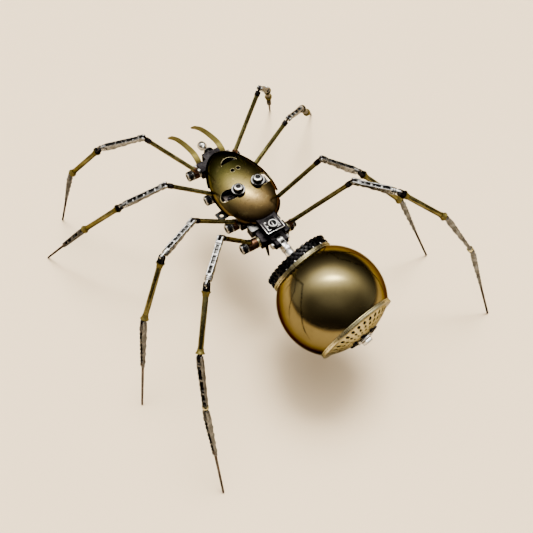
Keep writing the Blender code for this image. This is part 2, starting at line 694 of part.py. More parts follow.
def gear_ring():
    """The black toothed ring in front of the flange."""
    back = FLANGE_AT - FLANGE_T - 2 * GAP
    matrix = abdomen_frame()
    pieces = [rod(matrix, back - GEAR_T, back, GEAR_R - 0.8 * MM, segments=GEAR_TEETH)]
    bm = bmesh.new()
    bmesh.ops.create_cone(
        bm, cap_ends=True, segments=2 * GEAR_TEETH, radius1=GEAR_R, radius2=GEAR_R, depth=GEAR_T * 0.7
    )
    for vert in bm.verts:
        turn = round(math.atan2(vert.co.y, vert.co.x) / math.pi * GEAR_TEETH)
        if turn % 2:
            vert.co.xy *= (GEAR_R - 1.3 * MM) / GEAR_R
    teeth = piece(
        bm,
        matrix @ Matrix.Translation((back - GEAR_T / 2, 0, 0)) @ Matrix.Rotation(math.radians(90), 4, "Y"),
    )
    pieces.append(teeth)
    holes = [rod(matrix, back - 6 * MM, back + MM, 9.0 * MM, segments=24)]
    sub_part("gear_ring", "black_oxide", ABDOMEN_CENTRE, pieces, holes)


def abdomen_stem():
    """The waist's eye, its nut and spacer, and the long rod that clamps the abdomen together."""
    matrix = abdomen_frame()
    face = FLANGE_AT - FLANGE_T - 2 * GAP
    tilt = -TILT_AHEAD
    across = tilt_frame().to_3x3() @ X_AXIS
    pieces = [
        lug(abdomen_frame(tilt), -STEM_EYE_HALF_T, STEM_EYE_HALF_T, 2.6 * MM, 6.0 * MM),
        rod(matrix, tilt + 4.4 * MM, tilt + 6.6 * MM, 2.9 * MM, segments=6),
        rod(matrix, tilt + 6.2 * MM, face, 2.6 * MM, segments=16),
        rod(matrix, face - MM, RIM_AT + CAP_BULGE + 2.6 * MM, ROD_R),
    ]
    hole = rod(frame(WAIST_TILT, across, Z_AXIS), -3 * MM, 3 * MM, 1.0 * MM + GAP)
    sub_part("abdomen_stem", "chrome", WAIST_TILT, pieces, [hole])


def rear_cap():
    """The bulging pierced plate that closes the abdomen's rear mouth."""
    rim = RIM_AT + GAP
    sphere_r = (REAR_MOUTH_R**2 + CAP_BULGE**2) / (2 * CAP_BULGE)
    centre = rim + CAP_BULGE - sphere_r
    bore = ROD_R + GAP
    out = arc_profile(sphere_r, math.sqrt(sphere_r**2 - bore**2), rim - centre + 1.6 * MM, 5)
    inn = arc_profile(sphere_r - CAP_WALL, rim - centre + 0.7 * MM, (sphere_r - CAP_WALL) * 0.999, 5)[:-1]
    outside = [(centre + along, radius) for along, radius in out]
    inside = [(centre + along, radius) for along, radius in inn]
    lip = REAR_MOUTH_R + 0.5 * MM
    band = [(rim + 1.2 * MM, lip), (rim, lip), (rim, REAR_MOUTH_R - MM)]
    hub = [(centre + sphere_r - CAP_WALL - 0.1 * MM, bore)]
    cap = turned(abdomen_frame(), outside + band + inside + hub, steps=32)
    holes = []
    for along_share, count, radius in ((0.83, CAP_HOLES, 0.95 * MM), (0.66, CAP_HOLES, 0.8 * MM)):
        lean = math.asin(REAR_MOUTH_R * along_share / sphere_r)
        for number in range(count):
            turn = Matrix.Rotation(2 * math.pi * (number + 0.5) / count, 4, "X")
            out_dir = abdomen_frame(centre) @ turn @ Matrix.Rotation(-lean, 4, "Y")
            holes.append(rod(out_dir, sphere_r - 3 * MM, sphere_r + 2 * MM, radius, segments=6))
    sub_part("rear_cap", "light_brass", ABDOMEN_CENTRE, [cap], holes)


def rear_nut():
    """The domed chrome nut that closes the rod behind the cap."""
    start = RIM_AT + GAP + CAP_BULGE + GAP
    bore = ROD_R + GAP
    steps = ((0, bore), (0, 4.6 * MM), (0.9, 4.6 * MM), (1.0, 3.4 * MM), (2.4, 3.0 * MM), (2.8, bore))
    profile = [(start + along * MM, radius) for along, radius in steps]
    sub_part("rear_nut", "chrome", ABDOMEN_CENTRE, [turned(abdomen_frame(), profile, steps=16)])


# ---------------------------------------------------------------- legs


def heading(side, bearing, rise):
    """The direction of a leg segment."""
    b, r = math.radians(bearing), math.radians(rise)
    return Vector((SIDES[side] * math.cos(r) * math.cos(b), math.cos(r) * math.sin(b), math.sin(r)))


def leg_layout(side, pair):
    """Each segment's kind, start, end, direction and hinge axes, from the hip outwards."""
    stance = STANCE[side, pair]
    root_x, root_z = FEMUR_ROOT[side]
    start = Vector((SIDES[side] * root_x, HIP_Y[side, pair], root_z))
    layout = []
    for (kind, length), bearing, rise in zip(SEGMENTS[pair], stance["bearings"], stance["rises"]):
        along = heading(side, bearing, rise)
        if kind == FEMUR and side == "right":
            length += RIGHT_FEMUR_EXTRA
        reach = (start.z - NEEDLE_R) / -along.z if length is None else length * MM
        layout.append({"kind": kind, "start": start, "end": start + along * reach, "along": along})
        start = start + along * reach
    for inner, outer in zip(layout, layout[1:]):
        # Positive turns lift the outer segment.
        axis = outer["along"].cross(inner["along"]).normalized()
        inner["outer_axis"] = axis
        outer["inner_axis"] = axis
    return layout


def eye_pieces(segment):
    """The tongue at a segment's outer end, which the next one's fork straddles, and its hole."""
    matrix = frame(segment["end"], segment["along"], segment["outer_axis"])
    tongue = lug(matrix, -EYE_HALF_T, EYE_HALF_T, EYE_R, -SLEEVE_FACE - 0.4 * MM)
    across = frame(segment["end"], segment["outer_axis"], segment["along"])
    return tongue, rod(across, -2 * MM, 2 * MM, EYE_HOLE_R)


def fork_pieces(segment):
    """The fork at a segment's inner end, with the hinge pin between its cheeks."""
    place, axis, along = segment["start"], segment["inner_axis"], segment["along"]
    matrix = frame(place, along, axis)
    low, high = (FORK_BRIDGE, -BRIDGE_HALF_WIDTH, -CHEEK_R), (FORK_END, BRIDGE_HALF_WIDTH, CHEEK_R)
    pieces = [block(matrix, low, high)]
    for near, far in ((-CHEEK_OUTER, -CHEEK_INNER), (CHEEK_INNER, CHEEK_OUTER)):
        pieces.append(lug(matrix, near, far, CHEEK_R, FORK_BRIDGE + 0.3 * MM))
    pin_half = CHEEK_OUTER - 0.1 * MM
    pieces.append(rod(frame(place, axis, along), -pin_half, pin_half, PIN_R, segments=6))
    return pieces


def femur(name, side, pair, segment):
    """The knurled barrel on the hip screw, the long brass tube and the knee sleeve."""
    hip = hip_frame(side, pair)
    inner, outer = barrel_span(side, pair)
    matrix = frame(segment["start"], segment["along"], segment["outer_axis"])
    length = (segment["end"] - segment["start"]).length
    root = hip @ Vector((outer - 1.9 * MM, 0, 0)) + Z_AXIS * 1.9 * MM
    neck = frame(root, segment["start"] - root, Y_AXIS)
    tongue, hole = eye_pieces(segment)
    pieces = [
        rod(hip, inner, outer, BARREL_R, segments=14),
        rod(neck, 0, (segment["start"] - root).length, TUBE_R + 0.3 * MM),
        ball(Matrix.Translation(segment["start"]), TUBE_R + 0.5 * MM),
        rod(matrix, 0, length - SLEEVE_FACE - SLEEVE_L / 2, TUBE_R),
        rod(matrix, length - SLEEVE_FACE - SLEEVE_L, length - SLEEVE_FACE, SLEEVE_R),
        tongue,
    ]
    washer_r = (TALL_SCREW if side == "left" else LOW_SCREW)[0]
    bore = rod(hip, inner - MM, outer + MM, SCREW_SHANK_R + GAP)
    head_room = rod(hip, outer + 0.05 * MM, outer + 5 * MM, washer_r + GAP, segments=24)
    sub_part(name, "brass_tube", hip_pivot(side, pair), pieces, [hole, bore, head_room])


def strip_pieces(segment, start, end, slim_first=True):
    """A folded strip: a tapering bar with a groove along its top, which is the frame's -Z side."""
    matrix = frame(segment["start"], segment["along"], segment["inner_axis"])
    first, last = (STRIP_SLIM, STRIP_WIDE) if slim_first else (STRIP_WIDE, STRIP_SLIM)
    bar = wedge(matrix, start, end, 1.3 * MM, first, last)
    groove = block(matrix, (start + 2 * MM, -0.45 * MM, -3 * MM), (end - 2 * MM, 0.45 * MM, -0.2 * MM))
    return bar, groove


def tibia(name, segment):
    """A folded steel strip that widens outwards to its clamp."""
    length = (segment["end"] - segment["start"]).length
    matrix = frame(segment["start"], segment["along"], segment["inner_axis"])
    tongue, hole = eye_pieces(segment)
    bar, groove = strip_pieces(segment, FORK_END - 0.2 * MM, length - SLEEVE_FACE - 2.0 * MM)
    clamp = rod(matrix, length - SLEEVE_FACE - 2.6 * MM, length - SLEEVE_FACE, 1.9 * MM)
    sub_part(name, "steel", segment["start"], [*fork_pieces(segment), bar, clamp, tongue], [groove, hole])


def metatarsus(name, segment):
    """A brass tube with a collar at each end."""
    length = (segment["end"] - segment["start"]).length
    matrix = frame(segment["start"], segment["along"], segment["inner_axis"])
    tongue, hole = eye_pieces(segment)
    pieces = [
        *fork_pieces(segment),
        rod(matrix, FORK_END - 0.2 * MM, FORK_END + COLLAR_L, COLLAR_R),
        rod(matrix, FORK_END + 0.2 * MM, length - SLEEVE_FACE - 0.2 * MM, TUBE_R + 0.2 * MM),
        rod(matrix, length - SLEEVE_FACE - COLLAR_L, length - SLEEVE_FACE, COLLAR_R),
        tongue,
    ]
    sub_part(name, "brass_tube", segment["start"], pieces, [hole])


def tarsus_link(name, segment):
    """The extra link of the rear legs: a slim dark strip with a small brass collar."""
    length = (segment["end"] - segment["start"]).length
    matrix = frame(segment["start"], segment["along"], segment["inner_axis"])
    tongue, hole = eye_pieces(segment)
    face = length - SLEEVE_FACE
    bar, groove = strip_pieces(segment, FORK_END - 0.2 * MM, face - 0.6 * MM, slim_first=False)
    collar = rod(matrix, face - 1.4 * MM, face, 1.7 * MM)
    pieces = [*fork_pieces(segment), bar, collar, tongue]
    sub_part(name, "dark_steel", segment["start"], pieces, [groove, hole])


def tarsus(name, segment):
    """A folded strip that tapers down to a needle with a rounded end."""
    length = (segment["end"] - segment["start"]).length
    matrix = frame(segment["start"], segment["along"], segment["inner_axis"])
    strip_end = length * STRIP_SHARE
    bar, groove = strip_pieces(segment, FORK_END - 0.2 * MM, strip_end, slim_first=False)
    pieces = [
        *fork_pieces(segment),
        bar,
        rod(matrix, strip_end - 3 * MM, length, NEEDLE_R),
        ball(frame(segment["end"], Vector((0, 0, 1)), Y_AXIS), NEEDLE_R),
    ]
    sub_part(name, "steel", segment["start"], pieces, [groove])


def legs():
    for side, pair in HIP_Y:
        for segment in leg_layout(side, pair):
            kind = segment["kind"]
            name = f"{kind}_{side}_{pair}"
            if kind == FEMUR:
                femur(name, side, pair, segment)
            else:
                MAKERS[kind](name, segment)


MAKERS = {TIBIA: tibia, METATARSUS: metatarsus, "tarsus_link": tarsus_link, TARSUS: tarsus}


def place_body():
    """Hangs every part on one empty that sets the body frame in the world."""
    root = bpy.data.objects.new("spider_root", None)
    PARTS.objects.link(root)
    for obj in list(PARTS.objects):
        if obj is not root:
            obj.parent = root
    root.location = BODY_PLACE


empty_scene()
PARTS = collection("posable_metal_spider")
chassis()
prosoma_shell()
hip_screws()
shell_screws()
fang_axle()
fangs()
front_stud()
waist_screw()
waist_link()
waist_pin()
abdomen_stem()
gear_ring()
front_flange()
abdomen_shell()
rear_cap()
rear_nut()
legs()
place_body()
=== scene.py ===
"""Looks of the posable metal spider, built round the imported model.

Places are metres in the model's frame. Sizes of pieces are millimetres, and the mesh helpers turn them
into metres. A piece's own frame has X along it, so its grain runs along it.
"""

import json
import math

import bmesh
import bpy
from mathutils import Matrix, Vector

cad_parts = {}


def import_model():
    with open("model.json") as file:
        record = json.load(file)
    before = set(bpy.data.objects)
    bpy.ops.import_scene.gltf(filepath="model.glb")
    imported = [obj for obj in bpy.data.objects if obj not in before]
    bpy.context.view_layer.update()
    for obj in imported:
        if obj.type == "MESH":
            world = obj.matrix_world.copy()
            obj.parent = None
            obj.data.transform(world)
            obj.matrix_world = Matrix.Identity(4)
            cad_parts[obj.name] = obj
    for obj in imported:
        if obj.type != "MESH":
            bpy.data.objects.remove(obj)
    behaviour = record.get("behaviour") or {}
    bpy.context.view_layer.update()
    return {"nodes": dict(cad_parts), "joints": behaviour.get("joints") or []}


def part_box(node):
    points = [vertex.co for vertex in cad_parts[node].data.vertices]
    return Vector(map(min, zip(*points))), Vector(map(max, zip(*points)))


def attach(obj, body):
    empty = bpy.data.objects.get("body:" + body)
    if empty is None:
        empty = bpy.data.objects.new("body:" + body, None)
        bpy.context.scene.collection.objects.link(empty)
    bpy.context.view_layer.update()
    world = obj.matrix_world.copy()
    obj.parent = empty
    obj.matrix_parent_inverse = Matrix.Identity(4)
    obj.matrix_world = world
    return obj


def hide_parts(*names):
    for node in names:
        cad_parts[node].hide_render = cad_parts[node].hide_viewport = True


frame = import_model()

MM = 0.001
X_AXIS, Y_AXIS, Z_AXIS = Vector((1, 0, 0)), Vector((0, 1, 0)), Vector((0, 0, 1))
SIDES = {"left": 1, "right": -1}
PAIRS = (1, 2, 3, 4)
JOINTS = {joint["name"]: joint for joint in frame["joints"]}


def joint_at(name):
    return Vector(JOINTS[name]["pos_m"])


def joint_axis(name):
    return Vector(JOINTS[name]["axis"])


# The floor under the middle of the body, from which the body's pieces are placed.
WAIST_Y, WAIST_Z = 20.4, 60.0
ORIGIN = joint_at("waist_yaw") - Vector((0, WAIST_Y, WAIST_Z)) * MM

# Hinges of the legs.
EYE_R, EYE_HALF_T = 1.4, 0.5
CHEEK_R, CHEEK_INNER, CHEEK_OUTER = 1.2, 0.8, 1.4
BRIDGE_FROM, FORK_END, BRIDGE_HALF_WIDTH = 1.8, 3.2, 1.5
SLEEVE_FACE = 1.9

# Legs. A strip's stations run along it, and its bridges lie at shares of its length.
TUBE_R, SLEEVE_R, COLLAR_R = 1.2, 1.6, 2.3
STRIP_SLIM, STRIP_WIDE, STRIP_HALF_WIDTH = 0.8, 1.7, 1.3
STRIP_SHARE = 0.52
STRIP_STATIONS, STRIP_WALL, STRIP_BUMP, STRIP_BRIDGES = 36, 0.42, 0.42, (0.02, 0.36, 0.68, 0.98)
NEEDLE_R = 0.6

# Hips, along X from the body's centre plane.
HIP_Z = 57.0
BARREL_OUTER, BARREL_R = {"left": 15.6, "right": 12.0}, 3.0
WASHER_R = {"left": 3.0, "right": 2.4}
HEAD = {"left": (2.75, 3.0), "right": (1.9, 1.6)}
FEMUR_ROOT = {"left": (14.5, 60.5), "right": (11.5, 60.2)}

# Screws: the hex socket's depth and width as shares of the head's, and how deep the knurls sink.
SOCKET_DEPTH, SOCKET_WIDTH = 0.53, 0.62
HEAD_KNURL, BAND_KNURL, BARREL_KNURL = 0.09, 0.12, 0.28

# Front shell.
SHELL_CENTRE = (0.0, -12.0, 62.0)
SHELL_LENGTH, SHELL_WIDTH, SHELL_HEIGHT = 27.5, 17.0, 10.8
SHELL_WALL, SHELL_TAPER = 0.9, 0.15
SHELL_SCREW, SHELL_SEAT_Z = (6.0, -4.0), 72.9
SLOT_FROM, SLOT_TO, SLOT_HALF_WIDTH = (8.7, -4.6), (12.2, -6.2), 3.1
SMALL_HOLE, SMALL_HOLE_R = (1.7, -17.0), 1.1
NOSE_SLOT_R, NOSE_SLOT_Y, NOSE_SLOT_CHORD_Y = 5.0, -22.4, -23.6
SLOT_PLATE_AT = (10.6, -5.2, 66.6)
TAIL_NOTCH = ((-6.1, 0, 55), (6.1, 30, 65.5))
LEG_ARCH_R, LEG_ARCH_FROM, LEG_ARCH_TO = 3.5, 8, 25
LEG_ARCH_Z = {("left", 2): 61.0, ("left", 3): 60.8, ("right", 2): 62.8, ("right", 3): 63.6}

# Tail plate's top and rear edge, and the side plate and block beside the left hips.
TAIL_TOP, RAIL_REACH, RAIL_WIDTH, RAIL_INSETS = (0, 24.2, 65.0), 5.4, 0.3, (0.1, 1.7)
SIDE_PLATE_AT, SIDE_PLATE_ALONG = (16.8, -4.0, 57.4), (0.99, 0.14, 0)
SIDE_PLATE_HALF, SIDE_PLATE_HOLE_R = (2.5, 2.7, 0.46), 1.1
SIDE_BLOCK_AT, SIDE_BLOCK_HALF = (7.65, 13.9, 58.8), (2.36, 2.72, 2.86)

# Abdomen, along its own axis from its centre.
DROOP = math.radians(12)
TILT_AHEAD = 41.0
ABDOMEN_R, ABDOMEN_WALL = 28.2, 1.0
FRONT_MOUTH_R, REAR_MOUTH_R = 17.6, 21.6
FLANGE_R, FLANGE_T = 18.4, 1.4
GEAR_R, GEAR_T, GEAR_TEETH = 18.4, 4.4, 36
CAP_BULGE, CAP_WALL, CAP_HOLES = 6.5, 0.9, 30
CAP_BOLTS, CAP_BOLT_AT = 8, 7.2
# Each ring of the cap's holes: its radius as a share of the mouth's, and the holes' own radius.
CAP_HOLE_RINGS = ((0.81, 1.2), (0.67, 0.98), (0.535, 0.72))
ROD_R = 1.5
GAP = 0.3
FLANGE_AT = -math.sqrt(ABDOMEN_R**2 - FRONT_MOUTH_R**2)
RIM_AT = math.sqrt(ABDOMEN_R**2 - REAR_MOUTH_R**2)

# Floor, which fades to its far tone, a painted shade, between two distances in metres.
FLOOR_TONES = ((0.95, 0.745, 0.485), (0.97, 0.765, 0.505))
FLOOR_FAR_SHADE, FLOOR_FADE = (0.16, 0.12, 0.085), (0.34, 0.95)

# Sun and room. Each glow is its blend, share, direction, line across it, width, height and colour.
SUN_FROM, SUN_STRENGTH, SUN_ANGLE, SUN_COLOUR = (-0.25, -0.30, 0.92), 3.7, 0.45, (1.0, 0.985, 0.96)
WORLD_STRENGTH = 0.9
ROOM_TONES = (
    (0.0, (0.05, 0.04, 0.03)), (0.5, (0.05, 0.04, 0.03)), (0.62, (0.09, 0.075, 0.06)),
    (0.82, (0.30, 0.27, 0.23)), (1.0, (0.90, 0.86, 0.79)),
)
SIDEWAYS = (-0.85, 0.53, 0.0)
GLOWS = (
    ("ADD", 1.0, (-0.17, -0.28, 0.94), SIDEWAYS, 0.60, 0.30, (7.2, 6.9, 6.4)),
    ("ADD", 1.0, (-0.14, -0.24, 0.96), SIDEWAYS, 0.24, 0.075, (34.0, 33.0, 29.0)),
    ("MIX", 0.85, (0.57, 0.76, 0.27), SIDEWAYS, 0.55, 0.42, (0.03, 0.022, 0.018)),
    ("ADD", 1.0, (0.83, -0.52, 0.12), (0.53, 0.85, 0.0), 0.5, 0.22, (0.45, 0.38, 0.28)),
)

# Camera, with lengths of its lens in mm and its distance in metres.
LENS, SENSOR, CAMERA_SHIFT, CAMERA_AWAY = 54.0, 36.0, (0.027, -0.0017), 0.480
CAMERA_RIGHT, CAMERA_UP = (-0.8499, 0.5270, 0.0), (-0.4419, -0.7128, 0.5446)

# Surfaces: the depth of the grain, the angle past which an edge is drawn sharp, and how much the
# edges of the model's own parts are eased.
BUMP_DEPTH = 0.04 * MM
SHARP_ANGLE = math.radians(38)
EASE, EASE_ANGLE = 0.16 * MM, math.radians(40)

# Fangs and stud.
FANG_ROUTE = (
    (-43.4, 54.3), (-45.5, 56.0), (-48.0, 57.0), (-50.8, 57.2), (-56.5, 55.8), (-62.9, 53.4),
    (-69.5, 50.2), (-73.1, 47.9), (-76.4, 45.4), (-80.6, 42.0), (-81.8, 41.0),
)
FANG_HALF_WIDTH, FANG_HALF_T = 1.7, 0.4
STUD_Y, STUD_Z, STUD_DROP = -46.65, 57.0, math.radians(16)
STUD_PROFILE = (
    (-3.5, 0), (-3.5, 1.2), (0, 1.2), (0, 3.0), (0.1, 3.1), (0.35, 3.1), (0.45, 2.9), (0.6, 3.05),
    (0.8, 3.0), (1.1, 2.5), (1.5, 2.0), (2.1, 1.6), (2.8, 1.42), (4.4, 1.32), (5.5, 1.35),
    (6.0, 1.6), (6.5, 2.05), (7.0, 2.45), (7.4, 2.55), (8.6, 2.6), (9.4, 2.55), (10.1, 2.2),
    (10.6, 1.7), (10.9, 1.0), (11.0, 0),
)


def at(x, y, z):
    return ORIGIN + Vector((x, y, z)) * MM


def placed(origin, x_dir, y_dir):
    """A frame whose X runs along x_dir and whose Y is as near to y_dir as it can be."""
    x = x_dir.normalized()
    z = x.cross(y_dir).normalized()
    matrix = Matrix((x, z.cross(x), z)).transposed().to_4x4()
    matrix.translation = origin
    return matrix


def upright(origin):
    """A frame whose X points up."""
    return placed(origin, Z_AXIS, Y_AXIS)


def level(origin):
    """A frame that lies as the model's does."""
    return placed(origin, X_AXIS, Y_AXIS)


# ---------------------------------------------------------------- materials


def feed(tree, socket, value):
    """Sets a socket, or links another socket to it."""
    if isinstance(value, bpy.types.NodeSocket):
        tree.links.new(value, socket)
    else:
        socket.default_value = value


def node(tree, kind, inputs, **settings):
    made = tree.nodes.new(kind)
    for name, value in settings.items():
        setattr(made, name, value)
    for socket, value in inputs.items():
        feed(tree, made.inputs[socket], value)
    return made


def ramp(tree, fac, stops):
    made = node(tree, "ShaderNodeValToRGB", {"Fac": fac})
    while len(made.color_ramp.elements) < len(stops):
        made.color_ramp.elements.new(0.5)
    for element, (position, colour) in zip(made.color_ramp.elements, stops):
        element.position = position
        element.color = (*colour, 1.0)
    return made.outputs["Color"]


def noise(tree, coords, scale, detail=4.0, stretch=1.0, roughness=0.55):
    """Noise in cells of 1/scale metre, drawn out along X by stretch."""
    drawn = node(tree, "ShaderNodeMapping", {"Scale": (1.0 / stretch, 1.0, 1.0), "Vector": coords})
    inputs = {"Scale": scale, "Detail": detail, "Roughness": roughness}
    inputs["Vector"] = drawn.outputs["Vector"]
    return node(tree, "ShaderNodeTexNoise", inputs).outputs["Fac"]


def mix(tree, kind, fac, a, b):
    made = node(tree, "ShaderNodeMix", {}, data_type="RGBA", blend_type=kind)
    for name, value in (("Factor", fac), ("A", a), ("B", b)):
        feed(tree, made.inputs[name], (*value, 1.0) if isinstance(value, tuple) else value)
    return made.outputs["Result"]


def spread(tree, value, low, high, start=0.3, end=0.7):
    inputs = {"Value": value, "From Min": start, "From Max": end, "To Min": low, "To Max": high}
    return node(tree, "ShaderNodeMapRange", inputs).outputs["Result"]


def arithmetic(tree, operation, first, second=0.0):
    return node(tree, "ShaderNodeMath", {0: first, 1: second}, operation=operation).outputs["Value"]


def grey(value):
    return (value, value, value)


def metal(
    name, colours, rough, clouds=90.0, grain=1600.0, stretch=8.0, bump=0.25, tarnish=0.35, worn=0.0,
    zones=None, underside_shade=0.35, edge=0.3, shade=(-0.15, 0.6),
):
    """A metal with clouded colour, tarnish specks, a fine grain along X, lighter scuffs, and painted
    shade on surfaces that face down.

    colours are its dark, middle and light tones; rough is its least and most roughness; zones, if
    given, are tones from one end of Y to the other, over the (start, end, stops) it holds.
    underside_shade is painted shade: how much of the colour is left where the surface's slope is past
    shade's start, and edge how bright the metal stays seen edge on.
    """
    material = bpy.data.materials.new(name)
    material.use_nodes = True
    tree = material.node_tree
    shader = tree.nodes["Principled BSDF"]
    coords = tree.nodes.new("ShaderNodeTexCoord").outputs["Object"]
    dark, middle, light = colours
    cloud = noise(tree, coords, clouds, 5.0)
    colour = ramp(tree, cloud, ((0.30, dark), (0.52, middle), (0.74, light)))
    if zones:
        start, end, stops = zones
        split = node(tree, "ShaderNodeSeparateXYZ", {"Vector": coords})
        along = spread(tree, split.outputs["Y"], 0.0, 1.0, start, end)
        colour = mix(tree, "MIX", 0.75, colour, ramp(tree, along, stops))
    specks = noise(tree, coords, clouds * 7.0, 6.0, roughness=0.7)
    marks = ramp(tree, specks, ((0.56, grey(0.0)), (0.70, grey(1.0))))
    amount = mix(tree, "MULTIPLY", 1.0, marks, grey(tarnish))
    colour = mix(tree, "MIX", amount, colour, tuple(c * 0.35 for c in dark))
    fine = noise(tree, coords, grain, 3.0, stretch)
    if worn:
        scuffs = noise(tree, coords, clouds * 3.0, 4.0, stretch, 0.65)
        rubbed = ramp(tree, scuffs, ((0.58, grey(0.0)), (0.72, grey(worn))))
        colour = mix(tree, "MIX", rubbed, colour, tuple(min(1.0, c * 1.4 + 0.02) for c in light))
    # Painted shade: the colour darkens where the surface faces down or sideways, by its world normal's
    # height.
    normal = node(tree, "ShaderNodeNewGeometry", {}).outputs["Normal"]
    facing = node(tree, "ShaderNodeSeparateXYZ", {"Vector": normal})
    shade_factor = spread(tree, facing.outputs["Z"], underside_shade, 1.0, *shade)
    painted_shade = node(tree, "ShaderNodeCombineColor", {"Red": shade_factor, "Green": shade_factor, "Blue": shade_factor})
    colour = mix(tree, "MULTIPLY", 1.0, colour, painted_shade.outputs["Color"])
    tree.links.new(colour, shader.inputs["Base Color"])
    shader.inputs["Specular Tint"].default_value = (edge, edge * 0.93, edge * 0.8, 1.0)
    shader.inputs["Metallic"].default_value = 1.0
    low, high = rough
    blotch = noise(tree, coords, clouds * 2.3, 4.0)
    both = arithmetic(tree, "ADD", spread(tree, blotch, low, high), spread(tree, fine, -0.04, 0.06))
    tree.links.new(both, shader.inputs["Roughness"])
    height = node(tree, "ShaderNodeBump", {"Strength": bump, "Distance": BUMP_DEPTH, "Height": fine})
    tree.links.new(height.outputs["Normal"], shader.inputs["Normal"])
    return material


# Tones along the shell from nose to rear: olive patina at the nose and brown patina at the rear, with a
# darkening towards both ends, away from the golden middle, that is painted shade.
SHELL_PATINA_AND_SHADE = (
    -26 * MM,
    26 * MM,
    (
        (0.0, (0.032, 0.040, 0.008)), (0.30, (0.095, 0.10, 0.022)), (0.60, (0.21, 0.165, 0.055)),
        (0.80, (0.165, 0.105, 0.04)), (1.0, (0.035, 0.014, 0.007)),
    ),
)
# In each look, the share of colour kept where a surface faces down is painted shade.
LOOKS = {
    "shell_brass": {
        "colours": ((0.055, 0.044, 0.013), (0.125, 0.1, 0.032), (0.23, 0.18, 0.066)),
        "rough": (0.1, 0.2), "clouds": 70.0, "stretch": 1.5, "bump": 0.35, "tarnish": 0.55, "worn": 0.5,
        "zones": SHELL_PATINA_AND_SHADE, "underside_shade": 0.04, "edge": 0.04, "shade": (0.22, 0.82),
    },
    "sphere_brass": {
        "colours": ((0.13, 0.104, 0.042), (0.175, 0.142, 0.06), (0.225, 0.184, 0.082)),
        "rough": (0.08, 0.14), "clouds": 34.0, "grain": 2400.0, "stretch": 1.2, "bump": 0.1,
        "tarnish": 0.1, "underside_shade": 0.5, "edge": 0.25,
    },
    "light_brass": {
        "colours": ((0.34, 0.3, 0.16), (0.48, 0.43, 0.25), (0.58, 0.53, 0.33)),
        "rough": (0.2, 0.34), "clouds": 120.0, "bump": 0.25, "tarnish": 0.3, "worn": 0.4, "underside_shade": 0.75,
    },
    "tube_brass": {
        "colours": ((0.07, 0.06, 0.022), (0.135, 0.118, 0.042), (0.24, 0.212, 0.088)),
        "rough": (0.2, 0.34), "clouds": 110.0, "stretch": 14.0, "tarnish": 0.45, "worn": 0.6,
    },
    "fang_brass": {
        "colours": ((0.15, 0.12, 0.032), (0.2, 0.163, 0.046), (0.25, 0.207, 0.066)),
        "rough": (0.5, 0.62), "clouds": 100.0, "stretch": 10.0, "tarnish": 0.3, "worn": 0.4,
    },
    "copper": {
        "colours": ((0.035, 0.016, 0.009), (0.085, 0.038, 0.02), (0.2, 0.1, 0.055)),
        "rough": (0.22, 0.36), "clouds": 260.0, "tarnish": 0.5, "worn": 0.7,
    },
    "chrome": {
        "colours": ((0.3, 0.3, 0.3), (0.52, 0.52, 0.52), (0.72, 0.72, 0.72)),
        "rough": (0.07, 0.15), "clouds": 200.0, "bump": 0.12, "tarnish": 0.22,
    },
    "bright_steel": {
        "colours": ((0.75, 0.75, 0.75), (0.88, 0.88, 0.88), (0.95, 0.95, 0.95)),
        "rough": (0.3, 0.42), "clouds": 200.0, "bump": 0.12, "tarnish": 0.1,
    },
    "silver_strip": {
        "colours": ((0.16, 0.16, 0.16), (0.42, 0.42, 0.42), (0.66, 0.66, 0.66)),
        "rough": (0.16, 0.32), "clouds": 280.0, "stretch": 6.0, "tarnish": 0.55, "worn": 0.8,
    },
    "grey_strip": {
        "colours": ((0.05, 0.05, 0.05), (0.14, 0.14, 0.14), (0.3, 0.3, 0.3)),
        "rough": (0.24, 0.4), "clouds": 260.0, "stretch": 6.0, "tarnish": 0.6, "worn": 0.8,
    },
    "bronze_needle": {
        "colours": ((0.035, 0.028, 0.025), (0.085, 0.07, 0.063), (0.15, 0.125, 0.115)),
        "rough": (0.26, 0.4), "clouds": 220.0, "stretch": 12.0, "tarnish": 0.4, "worn": 0.5,
    },
    "dark_steel": {
        "colours": ((0.006, 0.006, 0.007), (0.018, 0.016, 0.018), (0.05, 0.046, 0.05)),
        "rough": (0.2, 0.36), "clouds": 180.0, "tarnish": 0.5, "worn": 0.9,
    },
    "plate_steel": {
        "colours": ((0.07, 0.07, 0.07), (0.12, 0.12, 0.12), (0.18, 0.18, 0.18)),
        "rough": (0.28, 0.42), "clouds": 150.0, "tarnish": 0.4, "worn": 0.7,
    },
    "black_oxide": {
        "colours": ((0.006, 0.006, 0.007), (0.015, 0.015, 0.016), (0.035, 0.034, 0.034)),
        "rough": (0.22, 0.42), "clouds": 300.0, "tarnish": 0.3, "worn": 0.35,
    },
}
MATERIALS = {name: metal(name, **look) for name, look in LOOKS.items()}


# ---------------------------------------------------------------- pieces


def linked(name, data):
    """A new object in the scene."""
    obj = bpy.data.objects.new(name, data)
    bpy.context.scene.collection.objects.link(obj)
    return obj


def evaluated(obj):
    """A copy of an object's mesh with its modifiers applied."""
    graph = bpy.context.evaluated_depsgraph_get()
    return bpy.data.meshes.new_from_object(obj.evaluated_get(graph))


def extrude(bm, face, offset):
    grown = bmesh.ops.extrude_face_region(bm, geom=[face])["geom"]
    moved = [item for item in grown if isinstance(item, bmesh.types.BMVert)]
    bmesh.ops.translate(bm, verts=moved, vec=offset)


def skin(bm, first, second):
    """Faces between two rings of points, either of which may be a single point."""
    steps = max(len(first), len(second))
    for i in range(steps):
        j = (i + 1) % steps
        corners = [first[i % len(first)], first[j % len(first)]]
        corners += [second[j % len(second)], second[i % len(second)]]
        bm.faces.new(list(dict.fromkeys(corners)))


